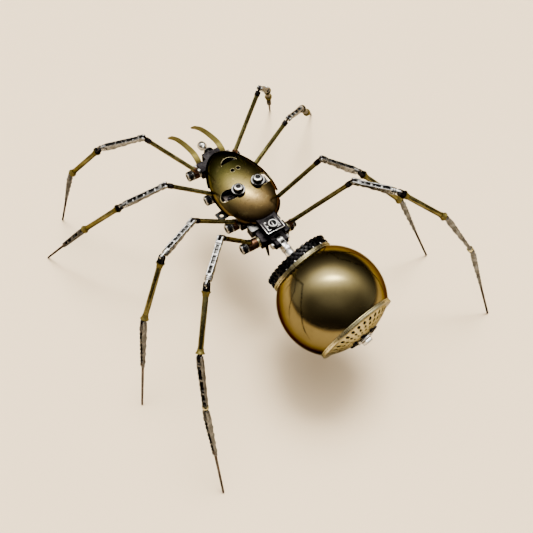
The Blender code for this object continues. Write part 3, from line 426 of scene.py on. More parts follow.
class Piece:
    """Closed shapes of one material that ride together, made in the model's frame."""

    def __init__(self, name, home):
        self.name = name
        self.home = home
        self.bm = bmesh.new()

    def add(self, part, matrix):
        bmesh.ops.recalc_face_normals(part, faces=part.faces)
        part.transform(matrix)
        scrap = bpy.data.meshes.new("scrap")
        part.to_mesh(scrap)
        part.free()
        self.bm.from_mesh(scrap)
        bpy.data.meshes.remove(scrap)

    def turned(self, matrix, profile, steps=32, knurl=0.0):
        """A shape turned about X from (along, radius) points; knurl sinks every second of a ring."""
        part = bmesh.new()
        rings = [turned_ring(part, point, steps, knurl, row) for row, point in enumerate(profile)]
        pairs = list(zip(rings, rings[1:]))
        if profile[0][1] > 0 and profile[-1][1] > 0:
            pairs.append((rings[-1], rings[0]))
        for first, second in pairs:
            skin(part, first, second)
        self.add(part, matrix)

    def plate(self, matrix, outline, low, high, bevel=0.08):
        """A plate with an outline of (x, z) points, between low and high on Y, with its edges eased."""
        part = bmesh.new()
        face = part.faces.new([part.verts.new((x * MM, low * MM, z * MM)) for x, z in outline])
        extrude(part, face, (0, (high - low) * MM, 0))
        bmesh.ops.recalc_face_normals(part, faces=part.faces)
        if bevel:
            edges = [e for e in part.edges if e.calc_face_angle(0) > math.radians(30)]
            bmesh.ops.bevel(
                part, geom=edges, offset=bevel * MM, segments=2, affect="EDGES", profile=0.6
            )
        self.add(part, matrix)

    def box(self, matrix, low, high, bevel=0.12):
        outline = ((low[0], low[2]), (high[0], low[2]), (high[0], high[2]), (low[0], high[2]))
        self.plate(matrix, outline, low[1], high[1], bevel)

    def take(self, obj):
        """Takes over another object's evaluated mesh and removes the object."""
        mesh = evaluated(obj)
        mesh.transform(obj.matrix_world)
        self.bm.from_mesh(mesh)
        bpy.data.meshes.remove(mesh)
        bpy.data.objects.remove(obj)

    def done(self, material, body, replaces=()):
        """Stores the piece and lets it ride on its body."""
        self.bm.transform(self.home.inverted())
        mesh = bpy.data.meshes.new(self.name)
        self.bm.to_mesh(mesh)
        self.bm.free()
        mesh.materials.append(MATERIALS[material])
        mesh.shade_smooth()
        mesh.set_sharp_from_angle(angle=SHARP_ANGLE)
        obj = linked(self.name, mesh)
        obj.matrix_world = self.home
        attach(obj, body)
        if replaces:
            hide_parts(*replaces)
        return obj


def turned_ring(part, point, steps, knurl, row):
    along, radius = point
    if radius == 0:
        return [part.verts.new((along * MM, 0, 0))]
    ring = []
    for i in range(steps):
        turn = 2 * math.pi * i / steps
        reach = (radius - knurl * ((i + row) % 2)) * MM
        ring.append(part.verts.new((along * MM, reach * math.cos(turn), reach * math.sin(turn))))
    return ring


def arc(radius, start, end, steps):
    """Points of a circle about the centre between two places along the axis."""
    first, last = math.acos(start / radius), math.acos(end / radius)
    angles = [first + (last - first) * i / steps for i in range(steps + 1)]
    return [(radius * math.cos(a), radius * math.sin(a)) for a in angles]


def drum(start, end, radius, ease=0.15):
    """The profile of a cylinder with eased ends."""
    return (
        (start, 0), (start, radius - ease), (start + ease * 0.3, radius - ease * 0.3),
        (start + ease, radius), (end - ease, radius),
        (end - ease * 0.3, radius - ease * 0.3), (end, radius - ease), (end, 0),
    )


def washer(start, end, hole, radius, ease=0.1):
    """The closed section of a washer."""
    return (
        (start, hole), (start, radius - ease), (start + ease, radius),
        (end - ease, radius), (end, radius - ease), (end, hole),
    )


def bead(along, radius, thickness, steps=10):
    """The closed round section of a ring."""
    angles = [2 * math.pi * i / steps for i in range(steps)]
    return [(along + thickness * math.cos(a), radius + thickness * math.sin(a)) for a in angles]


def stadium(radius, reach, steps=14):
    """An outline rounded about the origin and drawn out flat to reach along X."""
    sign = 1 if reach > 0 else -1
    turns = [math.radians(90 + 180 * i / steps) for i in range(steps + 1)]
    rounded = [(sign * radius * math.cos(a), radius * math.sin(a)) for a in turns]
    return [*rounded, (reach, -radius), (reach, radius)]


def lathe(name, matrix, shapes, material, body, replaces=()):
    """A piece made only of (profile, steps) shapes turned about one axis."""
    piece = Piece(name, matrix)
    for profile, steps in shapes:
        piece.turned(matrix, profile, steps)
    return piece.done(material, body, replaces)


def raw_object(bm):
    bmesh.ops.recalc_face_normals(bm, faces=bm.faces)
    mesh = bpy.data.meshes.new("raw")
    bm.to_mesh(mesh)
    bm.free()
    return linked("raw", mesh)


def cylinder_bm(bm, matrix, start, end, radius, steps):
    """Adds a plain cylinder along the matrix's X, for cutting."""
    turn = Matrix.Rotation(math.radians(90), 4, "Y")
    place = matrix @ Matrix.Translation(((start + end) / 2 * MM, 0, 0)) @ turn
    bmesh.ops.create_cone(
        bm,
        cap_ends=True,
        segments=steps,
        radius1=radius * MM,
        radius2=radius * MM,
        depth=(end - start) * MM,
        matrix=place,
    )


def drill(matrix, start, end, radius, steps):
    """A plain cylinder along the matrix's X, as an object for cutting."""
    bm = bmesh.new()
    cylinder_bm(bm, matrix, start, end, radius, steps)
    return raw_object(bm)


def cut(obj, cutters):
    """Cuts an object with others, which are removed."""
    for number, cutter in enumerate(cutters):
        modifier = obj.modifiers.new(f"Cut{number}", "BOOLEAN")
        modifier.operation = "DIFFERENCE"
        modifier.solver = "EXACT"
        modifier.object = cutter
    mesh = evaluated(obj)
    obj.modifiers.clear()
    obj.data = mesh
    for cutter in cutters:
        bpy.data.objects.remove(cutter)
    return obj


# ---------------------------------------------------------------- screws


def socket_head(piece, matrix, start, radius, length):
    """A cap screw's head with a finely knurled side, an eased crown and a hex socket.

    A second piece, named after the first, holds the socket's black lining, painted shade down in the
    socket, and the dark knurled band.
    """
    end = start + length
    floor_at = end - SOCKET_DEPTH * length
    knurled = [(start + 0.3 + (length - 0.9) * i / 6, radius) for i in range(7)]
    side = Piece("side", matrix)
    crown = ((end - 0.15, radius - 0.2), (end, radius - 0.55), (end, 0))
    outline = [(start, 0), (start, radius - 0.25), *knurled, *crown]
    side.turned(Matrix.Identity(4), outline, 48, HEAD_KNURL)
    tool = drill(Matrix.Identity(4), floor_at, end + 1, SOCKET_WIDTH * radius, 6)
    head = cut(raw_object(side.bm), [tool])
    head.matrix_world = matrix
    bpy.context.view_layer.update()
    piece.take(head)
    socket = Piece(f"{piece.name}_socket", matrix)
    # Painted shade: a black lining down in the hex socket.
    shade_lining = drum(floor_at - 0.05, floor_at + 0.85 * (end - floor_at), 0.6 * radius, 0.05)
    socket.turned(matrix, shade_lining, 6)
    rows = [(start + 0.1 + (length - 0.6) * i / 4, radius + 0.1) for i in range(5)]
    band = [(rows[0][0], radius - 0.4), *rows, (rows[-1][0], radius - 0.4)]
    socket.turned(matrix, band, 48, BAND_KNURL)
    socket.done("black_oxide", "body")


def hip_frame(side, pair):
    """X points out along the hip screw, from the body's centre plane."""
    pivot = joint_at(f"hip_{side}_{pair}")
    return placed(Vector((ORIGIN.x, pivot.y, pivot.z)), X_AXIS * SIDES[side], Y_AXIS)


def barrel_span(side, pair):
    """Where the barrel starts and ends, outwards from the centre plane, in mm."""
    middle = abs(joint_at(f"hip_{side}_{pair}").x - ORIGIN.x) / MM
    outer = BARREL_OUTER[side]
    return 2 * middle - outer, outer


def hip_screw(side, pair):
    matrix = hip_frame(side, pair)
    name = f"hip_screw_{side}_{pair}"
    radius, length = HEAD[side]
    wide = WASHER_R[side]
    start = BARREL_OUTER[side] + 0.3
    head = Piece(f"{name}_head", matrix)
    socket_head(head, matrix, start + 0.5, radius, length)
    head.done("chrome", "body", [name])
    shapes = [
        (washer(start, start + 0.22, 1.5, wide, 0.06), 32),
        (washer(start + 0.27, start + 0.5, 1.5, wide - 0.15, 0.06), 32),
        (drum(6.7, start + 0.4, 1.45, 0.2), 32),
    ]
    lathe(f"{name}_washers", matrix, shapes, "silver_strip", "body")


def shell_screw(side):
    matrix = upright(at(SIDES[side] * SHELL_SCREW[0], SHELL_SCREW[1], SHELL_SEAT_Z))
    name = f"shell_screw_{side}"
    head = Piece(f"{name}_head", matrix)
    socket_head(head, matrix, 0.85, 2.5, 1.9)
    head.turned(matrix, drum(-7.5, 1.0, 0.9))
    head.done("chrome", "body", [name])
    wide = [(washer(0.32, 0.56, 1.0, 3.7, 0.12), 48)]
    lathe(f"{name}_wide_washer", matrix, wide, "chrome", "body")
    dark = [(washer(0.05, 0.31, 1.0, 3.35, 0.1), 48), (washer(0.57, 0.84, 1.0, 2.95, 0.12), 48)]
    lathe(f"{name}_dark_washer", matrix, dark, "black_oxide", "body")


# ---------------------------------------------------------------- front shell


def egg_height(x, y):
    """The shell's outer height above its rim at a place in plan."""
    v = (y - SHELL_CENTRE[1]) / SHELL_LENGTH
    u = x / (SHELL_WIDTH * (1 + SHELL_TAPER * v))
    return SHELL_HEIGHT * math.sqrt(max(0.0, 1 - u * u - v * v))


def upright_prism(outline, low, high):
    """A prism on an outline of (x, y) points, for cutting."""
    bm = bmesh.new()
    face = bm.faces.new([bm.verts.new(at(x, y, low)) for x, y in outline])
    extrude(bm, face, (0, 0, (high - low) * MM))
    return raw_object(bm)


def oblong(start, end, radius, steps=14):
    """The outline of a slot with round ends."""
    start, end = Vector(start), Vector(end)
    heading = math.atan2(end.y - start.y, end.x - start.x)
    points = []
    for centre, first in ((end, heading - math.pi / 2), (start, heading + math.pi / 2)):
        for i in range(steps + 1):
            turn = first + math.pi * i / steps
            points.append((centre.x + radius * math.cos(turn), centre.y + radius * math.sin(turn)))
    return points


def nose_outline(steps=18):
    """A segment of a circle, with its chord towards the rear."""
    half = math.acos((NOSE_SLOT_Y - NOSE_SLOT_CHORD_Y) / NOSE_SLOT_R)
    turns = [-math.pi / 2 - half + 2 * half * i / steps for i in range(steps + 1)]
    return [(NOSE_SLOT_R * math.cos(t), NOSE_SLOT_Y + NOSE_SLOT_R * math.sin(t)) for t in turns]


def slot_outlines():
    outlines = [nose_outline()]
    for sign in SIDES.values():
        ends = [(sign * x, y) for x, y in (SLOT_FROM, SLOT_TO)]
        outlines.append(oblong(*ends, SLOT_HALF_WIDTH))
        x, y = sign * SMALL_HOLE[0], SMALL_HOLE[1]
        outlines.append(oblong((x, y - 0.05), (x, y + 0.05), SMALL_HOLE_R + 0.15, 8))
    return outlines


def rim_on_shell(piece, outline, thickness, lift):
    """A round bead that follows an outline on the shell."""
    count = len(outline)
    ring_steps = 8
    bm = bmesh.new()
    rings = []
    for i, (x, y) in enumerate(outline):
        before, after = outline[i - 1], outline[(i + 1) % count]
        along = Vector((after[0] - before[0], after[1] - before[1], 0)).normalized()
        side = Vector((along.y, -along.x, 0))
        centre = at(x, y, SHELL_CENTRE[2] + egg_height(x, y) + lift)
        ring = []
        for j in range(ring_steps):
            turn = 2 * math.pi * j / ring_steps
            reach = (side * math.cos(turn) + Z_AXIS * math.sin(turn)) * thickness * MM
            ring.append(bm.verts.new(centre + reach))
        rings.append(ring)
    for first, second in zip(rings, rings[1:] + rings[:1]):
        skin(bm, first, second)
    piece.add(bm, Matrix.Identity(4))


def front_shell():
    bm = bmesh.new()
    bmesh.ops.create_uvsphere(bm, u_segments=112, v_segments=56, radius=1.0)
    bmesh.ops.delete(bm, geom=[v for v in bm.verts if v.co.z < -0.01], context="VERTS")
    for vert in bm.verts:
        width = SHELL_WIDTH * (1 + SHELL_TAPER * vert.co.y)
        offset = Vector((vert.co.x * width, vert.co.y * SHELL_LENGTH, vert.co.z * SHELL_HEIGHT))
        vert.co = at(*(Vector(SHELL_CENTRE) + offset))
    dome = raw_object(bm)
    wall = dome.modifiers.new("Wall", "SOLIDIFY")
    wall.thickness = SHELL_WALL * MM
    wall.offset = -1.0
    top = SHELL_CENTRE[2] + 2 * SHELL_HEIGHT
    cutters = [upright_prism(outline, SHELL_CENTRE[2] - 2, top) for outline in slot_outlines()]
    home = level(at(*SHELL_CENTRE))
    for (side, pair), z in LEG_ARCH_Z.items():
        hip = hip_frame(side, pair)
        over = placed(hip.translation + Z_AXIS * (z - HIP_Z) * MM, hip.to_3x3() @ X_AXIS, Y_AXIS)
        cutters.append(drill(over, LEG_ARCH_FROM, LEG_ARCH_TO, LEG_ARCH_R, 40))
        under = Piece("under", home)
        below = placed(over.translation, over.to_3x3() @ X_AXIS, Z_AXIS)
        low, high = (LEG_ARCH_FROM, -5, -LEG_ARCH_R), (LEG_ARCH_TO, 0, LEG_ARCH_R)
        under.box(below, low, high, bevel=0)
        cutters.append(raw_object(under.bm))
    tail = Piece("tail", home)
    tail.box(level(at(0, 0, 0)), *TAIL_NOTCH, bevel=0)
    cutters.append(raw_object(tail.bm))
    shell = Piece("front_shell", home)
    shell.take(cut(dome, cutters))
    for sign in SIDES.values():
        seat = upright(at(sign * SHELL_SCREW[0], SHELL_SCREW[1], SHELL_SEAT_Z))
        shell.turned(seat, washer(-2.0, 0.0, 1.5, 3.2, 0.2), 40)
    shell.done("shell_brass", "body", ["prosoma_shell"])
    rims = Piece("shell_rims", home)
    for outline in slot_outlines():
        rim_on_shell(rims, outline, 0.14, -0.04)
    rims.done("light_brass", "body")


def under_slots():
    """The grey plate and its little screw that show through each slot of the shell."""
    for side, sign in SIDES.items():
        home = level(at(sign * SLOT_PLATE_AT[0], *SLOT_PLATE_AT[1:]))
        shelf = Piece(f"slot_plate_{side}", home)
        shelf.box(home, (-2.6, -3.6, -0.5), (2.6, 3.6, 0.0))
        shelf.done("bronze_needle" if side == "left" else "plate_steel", "body")
        screw = Piece(f"slot_screw_{side}", home)
        for profile in (drum(-6.3, 1.0, 0.9, 0.2), washer(0.02, 0.3, 0.5, 1.5, 0.06)):
            screw.turned(upright(home.translation), profile)
        screw.done("dark_steel", "body")


# ---------------------------------------------------------------- head


def smooth_route(points, steps):
    """A Catmull-Rom curve through the points."""
    padded = [points[0], *points, points[-1]]
    route = []
    for i in range(1, len(padded) - 2):
        p0, p1, p2, p3 = (Vector(p) for p in padded[i - 1 : i + 3])
        for k in range(steps):
            t = k / steps
            route.append(0.5 * (2 * p1 + (p2 - p0) * t + (2 * p0 - 5 * p1 + 4 * p2 - p3) * t * t
                         + (3 * p1 - p0 - 3 * p2 + p3) * t**3))
    route.append(Vector(points[-1]))
    return route


def fang(side):
    """A curved flat band with eased edges and a rounded tip, on its axle's eye."""
    pivot = joint_at(f"fang_{side}_lift")
    body = f"fang_{side}"
    home = placed(pivot, -Y_AXIS, X_AXIS)
    band = Piece(f"{body}_band", home)
    route = smooth_route(FANG_ROUTE, 5)
    bm = bmesh.new()
    rings = []
    quarter = ((-1, 0.35), (-0.88, 1), (0.88, 1), (1, 0.35))
    section = [*quarter, *[(-u, -w) for u, w in quarter]]
    for i, point in enumerate(route):
        ahead, behind = route[min(i + 1, len(route) - 1)], route[max(i - 1, 0)]
        along = Vector((0, ahead.x - behind.x, ahead.y - behind.y)).normalized()
        normal = along.cross(X_AXIS).normalized()
        left = (route[-1] - point).length / FANG_HALF_WIDTH
        share = math.sqrt(max(0.0, 1 - (1 - left) ** 2)) if left < 1 else 1.0
        half = FANG_HALF_WIDTH * max(share, 0.35)
        centre = Vector((pivot.x, ORIGIN.y + point.x * MM, ORIGIN.z + point.y * MM))
        wide, thick = X_AXIS * half * MM, normal * FANG_HALF_T * MM
        rings.append([bm.verts.new(centre + wide * u + thick * w) for u, w in section])
    for first, second in zip(rings, rings[1:]):
        skin(bm, first, second)
    bm.faces.new(rings[0])
    bm.faces.new(rings[-1])
    band.add(bm, Matrix.Identity(4))
    across = level(pivot)
    band.turned(across, washer(-1.8, 1.8, 1.0, 1.7, 0.15))
    band.done("fang_brass", body, [body])


def front_stud():
    out = Vector((0, -math.cos(STUD_DROP), -math.sin(STUD_DROP)))
    home = placed(at(0, STUD_Y, STUD_Z), out, X_AXIS)
    lathe("front_stud_turned", home, [(STUD_PROFILE, 40)], "chrome", "body", ["front_stud"])


def fang_axle():
    centre = (joint_at("fang_left_lift") + joint_at("fang_right_lift")) / 2
    home = level(centre)
    reach = (joint_at("fang_left_lift") - centre).length / MM + 2.1
    axle = [(drum(-reach - 0.2, reach + 0.2, 0.85), 20)]
    lathe("fang_axle_turned", home, axle, "dark_steel", "body", ["fang_axle"])
    nuts = Piece("fang_axle_nuts", home)
    for sign in SIDES.values():
        end = placed(centre, X_AXIS * sign, Y_AXIS)
        nuts.turned(end, drum(reach, reach + 1.4, 1.7, 0.25), 6)
        nuts.turned(end, washer(5.25, 5.9, 0.9, 1.7, 0.12))
    nuts.done("chrome", "body")


# ---------------------------------------------------------------- waist


def waist():
    matrix = upright(joint_at("waist_yaw"))
    shapes = [(washer(5.3, 7.5, 1.9, 2.6, 0.25), 40), (drum(-6.8, -5.3, 1.95, 0.15), 6)]
    lathe("waist_screw_head", matrix, shapes, "chrome", "body", ["waist_screw"])
    shapes = [(drum(-6.5, 6.7, 1.15), 32), (drum(5.35, 6.75, 1.88, 0.2), 32)]
    lathe("waist_screw_core", matrix, shapes, "black_oxide", "body")
    slot = Piece("waist_screw_bar", matrix)
    slot.box(matrix, (6.76, -1.5, -0.22), (6.95, 1.5, 0.22), 0.04)
    slot.done("silver_strip", "body")
    corner_rails()
    tilt = placed(joint_at("waist_tilt"), joint_axis("waist_tilt"), Z_AXIS)
    shapes = [(drum(-4.8, 4.8, 0.95), 32), (drum(4.1, 5.6, 1.8, 0.3), 32)]
    shapes.append((drum(-5.6, -4.1, 1.8, 0.2), 6))
    lathe("waist_pin_turned", tilt, shapes, "chrome", "waist", ["waist_pin"])


def corner_rails():
    """Two polished L-shaped rails and a few studs on the tail's top plate."""
    home = level(at(*TAIL_TOP))
    rails = Piece("tail_rails", home)
    for inset in RAIL_INSETS:
        x, y = RAIL_REACH - inset, -inset
        rails.box(home, (-x, y - RAIL_WIDTH, -0.1), (x, y, 0.5), 0.08)
        for sign in SIDES.values():
            inner, outer = sorted((sign * x, sign * (x - RAIL_WIDTH)))
            rails.box(home, (inner, -7.5, -0.1), (outer, y, 0.5), 0.08)
    rails.done("chrome", "body")
    studs = Piece("tail_studs", home)
    for x, y in ((2.9, -4.4), (-2.9, -2.6), (2.7, -7.0)):
        spot = upright(home @ (Vector((x, y, 0)) * MM))
        studs.turned(spot, ((-0.2, 0), (-0.2, 0.8), (0.4, 0.8), (0.65, 0.5), (0.75, 0)), 20)
    studs.done("chrome", "body")
    pad = Piece("tail_pad", home)
    pad.box(home, (-3.4, -9.5, -0.1), (3.4, -2.3, 0.18), 0.08)
    pad.done("black_oxide", "body")


def side_plates():
    """The black square plate with a round hole, and the grey block, that show beside the left hips."""
    home = placed(at(*SIDE_PLATE_AT), Vector(SIDE_PLATE_ALONG), Y_AXIS)
    cover = Piece("cover", home)
    cover.box(home, [-half for half in SIDE_PLATE_HALF], SIDE_PLATE_HALF, 0.05)
    hole = drill(upright(home.translation), -3, 3, SIDE_PLATE_HOLE_R, 32)
    square = Piece("side_plate", home)
    square.take(cut(raw_object(cover.bm), [hole]))
    square.done("black_oxide", "body")
    block_home = placed(at(*SIDE_BLOCK_AT), Y_AXIS, X_AXIS)
    block = Piece("side_block", block_home)
    block.box(block_home, [-half for half in SIDE_BLOCK_HALF], SIDE_BLOCK_HALF, 0.25)
    block.done("plate_steel", "body")


# ---------------------------------------------------------------- abdomen


def abdomen_frame():
    """X points rearwards along the abdomen's axis, from its centre."""
    flat = Z_AXIS.cross(joint_axis("waist_tilt")).normalized()
    axis = flat * math.cos(DROOP) - Z_AXIS * math.sin(DROOP)
    return placed(joint_at("waist_tilt") + axis * TILT_AHEAD * MM, axis, X_AXIS)


def abdomen():
    home = abdomen_frame()
    outside = arc(ABDOMEN_R, RIM_AT, FLANGE_AT, 64)
    inside = arc(ABDOMEN_R - ABDOMEN_WALL, FLANGE_AT, RIM_AT, 40)
    sphere = [(outside + inside, 144)]
    lathe("abdomen_sphere", home, sphere, "sphere_brass", "abdomen", ["abdomen_shell"])
    lips = [
        (bead(RIM_AT - 0.1, REAR_MOUTH_R + 0.15, 0.42), 144),
        (bead(FLANGE_AT + 0.1, FRONT_MOUTH_R + 0.1, 0.38), 144),
    ]
    lathe("abdomen_lips", home, lips, "light_brass", "abdomen")
    back = FLANGE_AT - GAP
    profile = (
        (back, ROD_R + GAP), (back, FLANGE_R - 0.25), (back - 0.15, FLANGE_R), (back - 0.45, FLANGE_R),
        (back - 0.6, FLANGE_R - 0.35), (back - 0.75, FLANGE_R - 0.1), (back - 1.05, FLANGE_R - 0.1),
        (back - 1.2, FLANGE_R - 0.7), (back - FLANGE_T, FLANGE_R - 0.9), (back - FLANGE_T, ROD_R + GAP),
    )
    flange = [(profile, 128)]
    lathe("front_flange_turned", home, flange, "light_brass", "abdomen", ["front_flange"])
    tooth_ring(home)
    stem(home)
    rear_cap(home)
    rear_bolts(home)


def tooth_ring(home):
    """The black chain-like ring: two rows of small links round a band, with bright rivets behind it."""
    back = FLANGE_AT - FLANGE_T - 2 * GAP
    ring = Piece("gear_ring_links", home)
    ring.turned(home, washer(back - GEAR_T, back, 9.0, GEAR_R - 2.2, 0.3), 96)
    for i in range(GEAR_TEETH):
        for deep, phase, sink in ((0.75, 0.0, 0.0), (2.2, 0.5, 0.7), (3.65, 0.0, 0.0)):
            turn = Matrix.Rotation(2 * math.pi * (i + phase) / GEAR_TEETH, 4, "X")
            reach = GEAR_R - sink
            low = (back - deep - 0.7, -0.8, reach - 2.6)
            ring.box(home @ turn, low, (back - deep + 0.7, 0.8, reach), 0.25)
    ring.done("black_oxide", "abdomen", ["gear_ring"])
    rivets = Piece("gear_ring_rivets", home)
    for i in range(GEAR_TEETH // 2):
        turn = Matrix.Rotation(2 * math.pi * (i + 0.25) * 2 / GEAR_TEETH, 4, "X")
        spot = home @ turn @ Matrix.Translation((back * MM, 0, (GEAR_R - 1.0) * MM))
        rivets.turned(spot, ((-0.3, 0), (-0.3, 0.5), (0.1, 0.55), (0.3, 0.35), (0.38, 0)), 16)
    rivets.turned(home, bead(back + 0.28, GEAR_R - 0.95, 0.16, 8), 96)
    rivets.done("chrome", "abdomen")


def stem(home):
    """The waist's eye and nut, the bright spacer and the long clamping rod, with thin black rings
    at the spacer's shoulders as painted shade.
    """
    face = FLANGE_AT - FLANGE_T - 2 * GAP
    tilt = home @ Matrix.Translation((-TILT_AHEAD * MM, 0, 0))
    eye = Piece("stem_eye", home)
    across = placed(tilt.translation, joint_axis("waist_tilt"), Z_AXIS)
    flat = placed(tilt.translation, home.to_3x3() @ X_AXIS, joint_axis("waist_tilt"))
    eye.plate(flat, stadium(2.6, 6.0), 1.25, 1.5, 0.1)
    eye.plate(flat, stadium(2.6, 6.0), -1.5, -1.25, 0.1)
    eye.turned(across, washer(-1.5, 1.5, 1.25, 2.5, 0.1))
    eye.box(flat, (2.4, -1.3, -2.2), (6.0, 1.3, 2.2), 0.2)
    eye.turned(tilt, drum(4.4, 6.6, 2.9, 0.3), 6)
    eye.done("silver_strip", "abdomen", ["abdomen_stem"])
    start = 6.4 - TILT_AHEAD
    profile = (
        (start, 0), (start, 2.2), (start + 0.25, 2.5), (start + 0.7, 2.6), (start + 1.0, 2.45),
        (start + 1.3, 2.6), (face - GEAR_T, 2.6), (face - 0.6, 2.4), (face - 0.3, 2.6), (face, 2.5),
        (face, 0),
    )
    rod = drum(face - 0.5, RIM_AT + CAP_BULGE + 2.6, ROD_R, 0.3)
    lathe("stem_spacer", home, [(profile, 64), (rod, 32)], "bright_steel", "abdomen")
    # Painted shade: thin black rings draw dark outlines at two shoulders of the spacer.
    ends = (start - 0.1, face - GEAR_T - 0.35)
    edges = [(washer(end, end + 0.3, 1.0, 2.65, 0.08), 64) for end in ends]
    lathe("stem_shade_rings", home, edges, "black_oxide", "abdomen")


def cap_ball():
    """The radius of the cap's crown, and where its centre lies on the axis."""
    ball_r = (REAR_MOUTH_R**2 + CAP_BULGE**2) / (2 * CAP_BULGE)
    return ball_r, RIM_AT + GAP + CAP_BULGE - ball_r


def on_cap(home, share, reach):
    """At the crown's centre, with X out through the crown, a share round it and reach off the axis."""
    ball_r, centre = cap_ball()
    turn = Matrix.Rotation(2 * math.pi * share, 4, "X")
    lean = Matrix.Rotation(-math.asin(reach / ball_r), 4, "Y")
    return home @ Matrix.Translation((centre * MM, 0, 0)) @ turn @ lean


def rear_cap(home):
    """The domed light-brass cap, pierced with three rings of holes, and its rolled rim, with a black
    lining behind the holes as painted shade.
    """
    rim = RIM_AT + GAP
    ball_r, centre = cap_ball()
    bore = ROD_R + GAP
    out = arc(ball_r, math.sqrt(ball_r**2 - bore**2), rim - centre + 1.4, 36)
    inner_r = ball_r - CAP_WALL
    inn = arc(inner_r, rim - centre + 0.5, math.sqrt(inner_r**2 - bore**2), 30)
    lip = REAR_MOUTH_R + 0.5
    band = [(rim + 1.25, lip - 0.15), (rim + 1.05, lip), (rim + 0.15, lip), (rim, lip - 0.15)]
    band.append((rim, REAR_MOUTH_R - 1))
    profile = [(centre + a, r) for a, r in out] + band + [(centre + a, r) for a, r in inn]
    cap = Piece("cap", home)
    cap.turned(home, profile, 120)
    tool = bmesh.new()
    oval = Matrix.Diagonal((1.0, 0.8, 1.15, 1.0))
    for share, radius in CAP_HOLE_RINGS:
        for number in range(CAP_HOLES):
            spot = on_cap(home, (number + 0.5) / CAP_HOLES, REAR_MOUTH_R * share) @ oval
            cylinder_bm(tool, spot, ball_r - 3, ball_r + 2, radius, 14)
    pierced = cut(raw_object(cap.bm), [raw_object(tool)])
    piece = Piece("rear_cap_pierced", home)
    piece.take(pierced)
    piece.done("light_brass", "abdomen", ["rear_cap"])
    # Painted shade: a black lining inside the cap, so that its holes show dark.
    outer, inner = inner_r - 0.12, inner_r - 0.4
    reach = math.sqrt(outer**2 - bore**2) - 0.1
    foot = rim - centre + 1.2
    section = arc(outer, reach, foot, 30) + arc(inner, foot, reach - 0.3, 30)
    shade_lining = [([(centre + a, r) for a, r in section], 96)]
    lathe("rear_cap_shade_lining", home, shade_lining, "black_oxide", "abdomen")


def rear_bolts(home):
    """The nut on the rod, its stepped washer and a ring of small bolts on the cap's crown."""
    start = RIM_AT + GAP + CAP_BULGE + GAP
    nut = [(drum(start + 0.95, start + 2.8, 3.0, 0.3), 6)]
    nut.append((washer(start, start + 0.9, ROD_R, 4.6, 0.2), 48))
    lathe("rear_nut_turned", home, nut, "chrome", "abdomen", ["rear_nut"])
    bolts = Piece("rear_bolts", home)
    top = cap_ball()[0] + 0.05
    profile = ((top - 0.6, 0), (top - 0.6, 1.3), (top + 0.5, 1.3), (top + 0.8, 1.0), (top + 0.9, 0))
    for i in range(CAP_BOLTS):
        bolts.turned(on_cap(home, (i + 0.5) / CAP_BOLTS, CAP_BOLT_AT), profile, 20)
    bolts.done("dark_steel", "abdomen")


# ---------------------------------------------------------------- legs


def leg_points(side, pair):
    """The hip root, each hinge and the needle's tip, and the name of each hinge."""
    hinges = ["knee", "ankle", "toe"]
    if pair == 4:
        hinges.insert(2, "link")
    names = [f"{hinge}_{side}_{pair}" for hinge in hinges]
    root_x, root_z = FEMUR_ROOT[side]
    root = hip_frame(side, pair) @ Vector((root_x * MM, 0, 0)) + Z_AXIS * (root_z - HIP_Z) * MM
    points = [root, *[joint_at(name) for name in names]]
    low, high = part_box(f"tarsus_{side}_{pair}")
    toe = points[-1]
    radius = NEEDLE_R * MM
    x = high.x - radius if high.x - toe.x > toe.x - low.x else low.x + radius
    y = high.y - radius if high.y - toe.y > toe.y - low.y else low.y + radius
    points.append(Vector((x, y, low.z + radius)))
    return points, names


def mirrored(half):
    """A turned profile made of half of it and its mirror image."""
    return [*[(-along, radius) for along, radius in reversed(half)], *half]


def fork(piece, start, along, axis):
    """A fork of two cheeks with its bridge and the hinge pin's riveted heads."""
    matrix = placed(start, along, axis)
    for near, far in ((-CHEEK_OUTER, -CHEEK_INNER), (CHEEK_INNER, CHEEK_OUTER)):
        piece.plate(matrix, stadium(CHEEK_R, BRIDGE_FROM + 0.4), near, far)
    low, high = (BRIDGE_FROM, -BRIDGE_HALF_WIDTH, -CHEEK_R), (FORK_END, BRIDGE_HALF_WIDTH, CHEEK_R)
    piece.box(matrix, low, high)
    outer = CHEEK_OUTER
    head = ((outer - 0.1, 0.45), (outer, 0.7), (outer + 0.22, 0.42), (outer + 0.3, 0))
    piece.turned(placed(start, axis, along), mirrored(head), 16)


def tongue(piece, end, along, axis):
    """The eye at a segment's outer end."""
    matrix = placed(end, along, axis)
    piece.plate(matrix, stadium(EYE_R, -SLEEVE_FACE - 0.4), -EYE_HALF_T, EYE_HALF_T)


